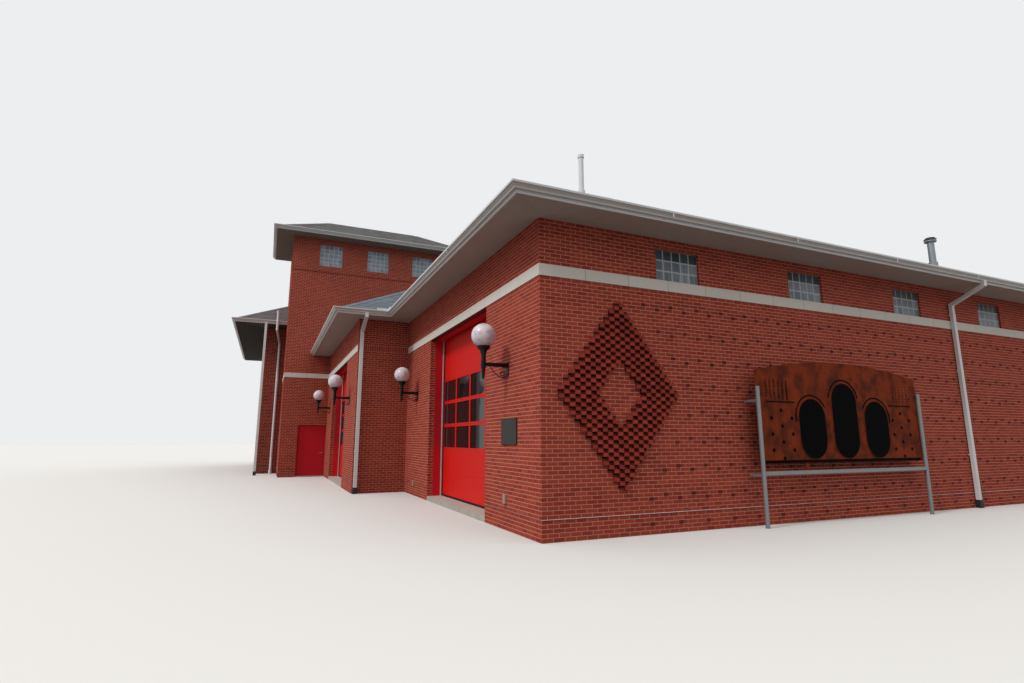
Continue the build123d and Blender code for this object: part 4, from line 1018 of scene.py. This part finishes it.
class OBJECT_OT_station_soffits(bpy.types.Operator):
    """Board the soffits and finish the fascias and gutters"""
    bl_idname = "object.station_soffits"
    bl_label = "Soffits and gutters"

    def execute(self, context):
        board = settings("roof").board
        for name, (points, turns) in OUTLINES.items():
            depth = (WING_OVERHANG if name == "wing" else OVERHANG) - FASCIA
            z = TOPS[name]
            mouth, lip = depth + FASCIA + GUTTER_REACH, z + GUTTER_LIP
            planks, strips, beads = Pile(), Pile(), Pile()
            for (start, along, span), first, last in zip(runs_through(points), turns, turns[1:]):
                base = np.array([*start, 0.0])
                out = np.cross(along, Z)
                low, high = (-depth if first == 1 else 0), span + (depth if last == 1 else 0)
                count = int(round((high - low) / board))
                step = (high - low) / count
                for s in low + (np.arange(count) + 0.5) * step:
                    near = max(0.006, -s, s - span)
                    far = min(s if first == -1 else depth, span - s if last == -1 else depth, depth)
                    if far - near >= 0.01:
                        plank = base + Z * z + along * (s - step / 2 + 0.0025) + out * near
                        planks.put(plank, out * (far - near), along * (step - 0.005), -Z * 0.004)
                if first == 1:
                    line = (out - along) * depth
                    side = np.cross(-Z, line) * 0.045 / np.linalg.norm(line)
                    strips.put(base + Z * (z - 0.004) - side / 2, line, side, -Z * 0.005)
                low, high = -first * mouth, span + last * mouth
                # The rolled lip in the paler trim colour over the greyer gutter is a painted highlight.
                beads.put(base + along * low + out * (mouth - 0.002) + Z * (lip - 0.030), along * (high - low),
                          Z * 0.032, out * 0.006, out * 0.010)
                for s in np.arange(low + 3.0, high - 1.0, 3.0):
                    beads.put(base + along * s + out * (mouth - 0.001) + Z * (lip - 0.098), along * 0.02, Z * 0.070,
                              out * 0.003)
            if name == "bays":
                corner = np.array([STEP_X + mouth - 0.004, FRONT_A - mouth + 0.004, lip - 0.01])
                beads.put(corner - Y * 0.34, Y * 0.34, Z * 0.075, X * 0.004)
                beads.put(corner, X * 0.34, Z * 0.075, -Y * 0.004)
            lay(name + "_soffit_boards", planks, name + "_boards")
            lay(name + "_soffit_mitres", strips, name + "_boards")
            lay(name + "_gutter_lips", beads, "coated_trim")
        paint("coated_trim", "bays_eaves", "tower_eaves", "wing_eaves", "downspouts")
        paint("coated_gutter", "gutters")
        return {"FINISHED"}


# Doors

class OBJECT_OT_station_doors(bpy.types.Operator):
    """Finish the overhead doors, the tower door and their frames"""
    bl_idname = "object.station_doors"
    bl_label = "Doors"

    def execute(self, context):
        paint("red_enamel", "bay_door_a", "bay_door_b")
        # The frames and the tower door take the darker crimson: painted shade.
        paint("crimson_enamel", "bay_door_frames", "tower_door", "tower_door_frame")
        paint("door_glazing", "bay_door_glass")
        paint("vinyl_strip", "bay_door_tracks")
        paint("mill_aluminium", "tower_door_threshold")
        beads = []
        for low, high in solid_boxes("bay_door_glass"):
            face, over = low[1] - 0.0185, 0.012
            beads.append(box("bead", (low[0] - over, face, low[2] - over),
                             (high[0] + over, face + 0.014, high[2] + over)))
            carve(lambda middle, normal: abs(normal.y) > 0.5,
                  (bpy.ops.mesh.inset, {"thickness": 0.026}), (bpy.ops.mesh.bridge_edge_loops, {}))
        keep("bay_door_beads", beads, "red_enamel")

        sleeves = []
        low, high = corners("tower_door")
        y, z, reach = high[1] - 0.070, 1.010, 0.062
        for face, way in ((high[0] - reach, 1), (low[0] + reach, -1)):
            for radius, near, far in ((0.028, 0.0, 0.0092), (0.0102, 0.008, 0.0632)):
                sleeves.append(cylinder("sleeve", radius, far - near, (face + way * (near + far) / 2, y, z), "X", 28))
            x = sorted((face + way * 0.0452, face + way * 0.0608))
            bar = box("sleeve", (x[0], y - 0.1162, z - 0.0102), (x[1], y + 0.0100, z + 0.0102))
            sleeves.append(bevel(bar, 0.002, limit_method="ANGLE"))
        keep("tower_door_lever_sleeves", sleeves, "satin_steel", LEAF)

        seals_and_shadow_strips, lintels = [], []
        for frame_low, frame_high in solid_boxes("bay_door_frames"):
            low, high = min((corners("bay_door_a"), corners("bay_door_b")), key=lambda c: abs(c[0][0] - frame_low[0]))
            face = low[1]
            seals_and_shadow_strips.append(box("seal", (low[0] + 0.062, face - 0.012, low[2]),
                             (high[0] - 0.062, high[1] - 0.004, low[2] + 0.045)))
            # The upright black strips beside each door are painted shadow in the gap between track and door; the strip
            # along the foot is the real bottom seal.
            for x in (frame_low[0] + 0.033, frame_high[0] - 0.045):
                seals_and_shadow_strips.append(box("seal", (x, face - 0.030, low[2]), (x + 0.012, face - 0.001, frame_high[2] - 0.02)))
            # The lintels' dark red is painted shade under the door heads.
            lintels.append(box("lintel", (frame_low[0], frame_low[1] - 0.146, frame_high[2] - 0.010),
                               (frame_high[0], frame_low[1], frame_high[2] - 0.001)))
        keep("bay_door_seals", seals_and_shadow_strips, "rubber_seal")
        keep("bay_door_lintels", lintels, "lintel_enamel")
        return {"FINISHED"}


# Fittings

class OBJECT_OT_station_fittings(bpy.types.Operator):
    """Finish lamps, pipes, the plaque and other small fittings"""
    bl_idname = "object.station_fittings"
    bl_label = "Fittings"

    def execute(self, context):
        globes, rings = [], []
        for low, high in solid_boxes("lamp_globes"):
            radius = (high[0] - low[0]) / 2
            x, y, z = (low[0] + high[0]) / 2, (low[1] + high[1]) / 2, high[2] - radius
            globes.append(begin("globe", bpy.ops.mesh.primitive_uv_sphere_add, segments=36, ring_count=20,
                                radius=radius, location=(x, y, z)))
            cut_off((x, y, low[2]), (0, 0, 1))
            bpy.ops.object.shade_smooth()
            for down, size, thick in ((0.205, 0.116, 0.011), (0.252, 0.088, 0.008), (0.447, 0.043, 0.008),
                                      (0.534, 0.048, 0.009)):
                rings.append(ring(size, thick, (x, y, z - down)))
                bpy.ops.object.shade_smooth()
            wall = FRONT_A if abs(y - FRONT_A) < 0.6 else FRONT_B
            for side in (-0.028, 0.028):
                for down in (0.49, 0.695):
                    rings.append(cylinder("bolt", 0.009, 0.014, (x + side, wall - 0.022, z - down), "Y", 6))
        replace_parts(keep("lamp_balls", globes, "milky_acrylic"), "lamp_globes")
        keep("lamp_rings", rings, "black_coat")

        straps = []
        for low, high in solid_boxes("downspouts"):
            for z in (1.2, 3.2, 4.6):
                straps.append(box("strap", (low[0] - 0.024, low[1] - 0.004, z),
                                  (low[0] + 0.080, high[1] + 0.004, z + 0.03)))
            straps.append(box("strap", (high[0] - 0.081, low[1] - 0.005, high[2] - 0.05),
                              (high[0] + 0.005, high[1] + 0.005, high[2] - 0.001)))
        keep("downspout_straps", straps, "coated_trim")

        boxes = []
        for x, z in ((SIDE_X - 1.41, 0.53), (SIDE_X - 8.16, 0.34)):
            outlet = box("outlet_box", (x - 0.05, FRONT_A - 0.045, z - 0.085), (x + 0.05, FRONT_A, z + 0.085))
            boxes.append(bevel(outlet, 0.008))
        keep("outlet_boxes", boxes, "cast_zinc")

        rings = []
        for node, radius in (("vent_pipe", 0.055), ("flue_pipe", 0.125)):
            low, high = corners(node)
            x, y = (low[0] + high[0]) / 2, (low[1] + high[1]) / 2
            rings.append(ring(radius, 0.012, (x, y, high[2] - 0.02)))
            bpy.ops.object.shade_smooth()
        keep("roof_pipe_rings", rings, "rubber_seal")

        low, high = corners("plaque")
        rim = box("plaque_rim", (low[0], low[1] - 0.006, low[2]), (high[0], low[1] + 0.002, high[2]))
        carve(lambda middle, normal: normal.y < -0.5,
              (bpy.ops.mesh.inset, {"thickness": 0.022}), (bpy.ops.transform.translate, {"value": (0, 0.0055, 0)}))
        keep("plaque_rim", [bevel(rim, 0.002)], "bronze_plate")
        paint("black_coat", "lamp_brackets")
        paint("cast_iron", "downspout_boots")
        paint("bronze_plate", "plaque")
        paint("white_pvc", "vent_pipe", "corner_leader")
        paint("flue_sheet", "flue_pipe")
        paint("cast_concrete", "floor_slabs")
        return {"FINISHED"}


class OBJECT_OT_station_panel(bpy.types.Operator):
    """Finish the steel panel and its posts"""
    bl_idname = "object.station_panel"
    bl_label = "Steel panel"

    def execute(self, context):
        paint("weathering_steel", "steel_panel")
        paint("galvanized_steel", "panel_posts")
        low, high = corners("steel_panel")
        middle, face = (low[1] + high[1]) / 2, high[0]
        sheet = face - 0.012
        foot, radius = 1.20, 0.37
        dark = []
        for i, height in enumerate((1.18, 1.52, 1.18)):
            y = middle + (i - 1) * 0.96
            dark.append(cylinder("dark_plate", radius, 0.006, (face, y, foot + radius), "X", 48))
            carve(lambda point, normal: point.z > foot + radius + 0.001,
                  (bpy.ops.transform.translate, {"value": (0, 0, height - 0.02 - 2 * radius)}), points=True)
            head = 0.81 + height
            dark.append(ring(0.44, 0.014, (sheet, y, head), "X", (48, 6)))
            cut_off((sheet, y, head + 0.08), (0, -0.35 + 0.35 * i, 1))
        beside = (low[1] + 0.62, high[1] - 0.62)
        for y in beside:
            dark.append(box("strip", (sheet - 0.001, y - 0.38, 2.27), (sheet + 0.005, y + 0.38, 2.292)))
        dark.append(box("strip", (sheet - 0.001, low[1] + 0.10, 1.13), (sheet + 0.006, high[1] - 0.10, 1.185)))
        keep("panel_dark_plates", dark, "blackened_steel")

        diamonds = Pile()
        for y in beside:
            for column in range(3):
                for row in range(3 + column % 2):
                    point = np.array([sheet, y + (column - 1) * 0.27, 1.33 + row * 0.3 - 0.15 * (column % 2)])
                    diamonds.put(point, (Y + Z) * 0.042, (Z - Y) * 0.042, X * 0.005)
        lay("panel_diamonds", diamonds, "blackened_steel")

        places = []
        for y in np.arange(low[1] + 0.17, high[1] - 0.10, 0.30):
            rise = 0.25 * (1 - ((y - middle) / (high[1] - middle)) ** 2)
            places += [(y, 1.27), (y, 2.80 + rise)]
        places += [(y, z) for y in (low[1] + 0.12, high[1] - 0.15) for z in np.arange(1.5, 2.7, 0.3)]
        rivets = Pile()
        for y, z in places:
            rivets.put(np.array([sheet, y, z]), Y * 0.03, Z * 0.03, X * 0.009)
        lay("panel_rivets", rivets, "weathering_steel", unit_rivet)
        caps = [cylinder("post_cap", 0.042, 0.03, (SIDE_X + 0.30, y, 2.54)) for y in (low[1], high[1])]
        keep("post_caps", [bevel(cap, 0.008, limit_method="ANGLE") for cap in caps], "galvanized_steel")
        return {"FINISHED"}


# Stage

def shown(tree):
    """1 for the rays that show a thing to the camera, straight, in metal or through glass."""
    path = add(tree, "ShaderNodeLightPath")
    seen = path.outputs["Is Camera Ray"]
    for other in ("Is Glossy Ray", "Is Transmission Ray"):
        seen = add(tree, "ShaderNodeMath", {0: seen, 1: path.outputs[other]}, operation="MAXIMUM").outputs[0]
    return seen


class OBJECT_OT_station_stage(bpy.types.Operator):
    """Set the floor, the light and the camera"""
    bl_idname = "object.station_stage"
    bl_label = "Stage"

    def execute(self, context):
        stage = settings("stage")
        scene = context.scene
        floor = begin("pale_floor", bpy.ops.mesh.primitive_plane_add, size=400, location=(0, 0, -0.004))
        floor_finish, tree, shader = finish("pale_floor", stage.floor, 0.95)
        tint = add(tree, "ShaderNodeMix", {0: shown(tree)}, data_type="RGBA")
        tint.inputs[6].default_value = (*linear("#696663"), 1)
        tint.inputs[7].default_value = (*stage.floor, 1)
        tree.links.new(tint.outputs[2], shader.inputs["Base Color"])
        floor.data.materials.append(floor_finish)

        scene.world = bpy.data.worlds.new("pale_sky")
        scene.world.use_nodes = True
        tree = scene.world.node_tree
        tree.nodes.clear()
        way = add(tree, "ShaderNodeSeparateXYZ", {0: add(tree, "ShaderNodeTexCoord").outputs["Generated"]})
        height = add(tree, "ShaderNodeMapRange", {"Value": way.outputs["Z"]}, From_Min=0.0, From_Max=1.0,
                     To_Min=0.55 * stage.sky, To_Max=1.5 * stage.sky)
        light = add(tree, "ShaderNodeBackground", {"Strength": height.outputs[0]}, Color=(1, 1, 1, 1))
        pale = add(tree, "ShaderNodeBackground", Color=(*linear("#EDEEF0"), 1), Strength=1.0)
        mix = add(tree, "ShaderNodeMixShader", {0: shown(tree), 1: light.outputs[0], 2: pale.outputs[0]})
        add(tree, "ShaderNodeOutputWorld", {"Surface": mix.outputs[0]})
        lamp = bpy.data.lights.new("soft_sun", "SUN")
        lamp.energy = stage.sun
        lamp.angle = math.radians(12)
        sun = bpy.data.objects.new("soft_sun", lamp)
        context.collection.objects.link(sun)
        sun.rotation_euler = Vector((-0.16, 0.85, -0.85)).to_track_quat("-Z", "Y").to_euler()

        camera = bpy.data.cameras.new("camera")
        focal, width, tilt = 550, 1024, math.radians(10.15)    # focal length and width of the picture in pixels
        camera.sensor_width = 36
        camera.lens = camera.sensor_width * focal / width
        camera.clip_end = 500
        eye = bpy.data.objects.new("camera", camera)
        context.collection.objects.link(eye)
        look = Vector((-0.9157 * math.cos(tilt), 0.4019 * math.cos(tilt), math.sin(tilt)))
        eye.location = (SIDE_X + 7.89, FRONT_A - 3.96, 1.56)
        eye.rotation_euler = look.to_track_quat("-Z", "Y").to_euler()
        scene.camera = eye
        scene.view_settings.view_transform = "Standard"
        return {"FINISHED"}


class VIEW3D_PT_station(bpy.types.Panel):
    """Lists the steps that dress the building"""
    bl_label = "Fire Station"
    bl_space_type = "VIEW_3D"
    bl_region_type = "UI"
    bl_category = "Fire Station"

    def draw(self, context):
        for operator in OPERATORS:
            self.layout.operator(operator.bl_idname)
        for kind in SETTINGS:
            group = settings(kind)
            for name in group.__annotations__:
                self.layout.prop(group, name)


OPERATORS = (
    OBJECT_OT_station_bricks,
    OBJECT_OT_station_flashing,
    OBJECT_OT_station_band,
    OBJECT_OT_station_glass_blocks,
    OBJECT_OT_station_shingles,
    OBJECT_OT_station_soffits,
    OBJECT_OT_station_doors,
    OBJECT_OT_station_fittings,
    OBJECT_OT_station_panel,
    OBJECT_OT_station_stage,
)
SETTINGS = {
    "brick": StationBrickSettings,
    "roof": StationRoofSettings,
    "fitting": StationFittingSettings,
    "stage": StationStageSettings,
}


def register():
    for kind, group in SETTINGS.items():
        bpy.utils.register_class(group)
        setattr(bpy.types.Scene, "station_" + kind, bpy.props.PointerProperty(type=group))
    for item in (*OPERATORS, VIEW3D_PT_station):
        bpy.utils.register_class(item)


def unregister():
    for item in reversed((*OPERATORS, VIEW3D_PT_station)):
        bpy.utils.unregister_class(item)
    for kind, group in SETTINGS.items():
        delattr(bpy.types.Scene, "station_" + kind)
        bpy.utils.unregister_class(group)


def main():
    register()
    for operator in OPERATORS:
        group, name = operator.bl_idname.split(".")
        getattr(getattr(bpy.ops, group), name)()


if __name__ == "__main__":
    main()
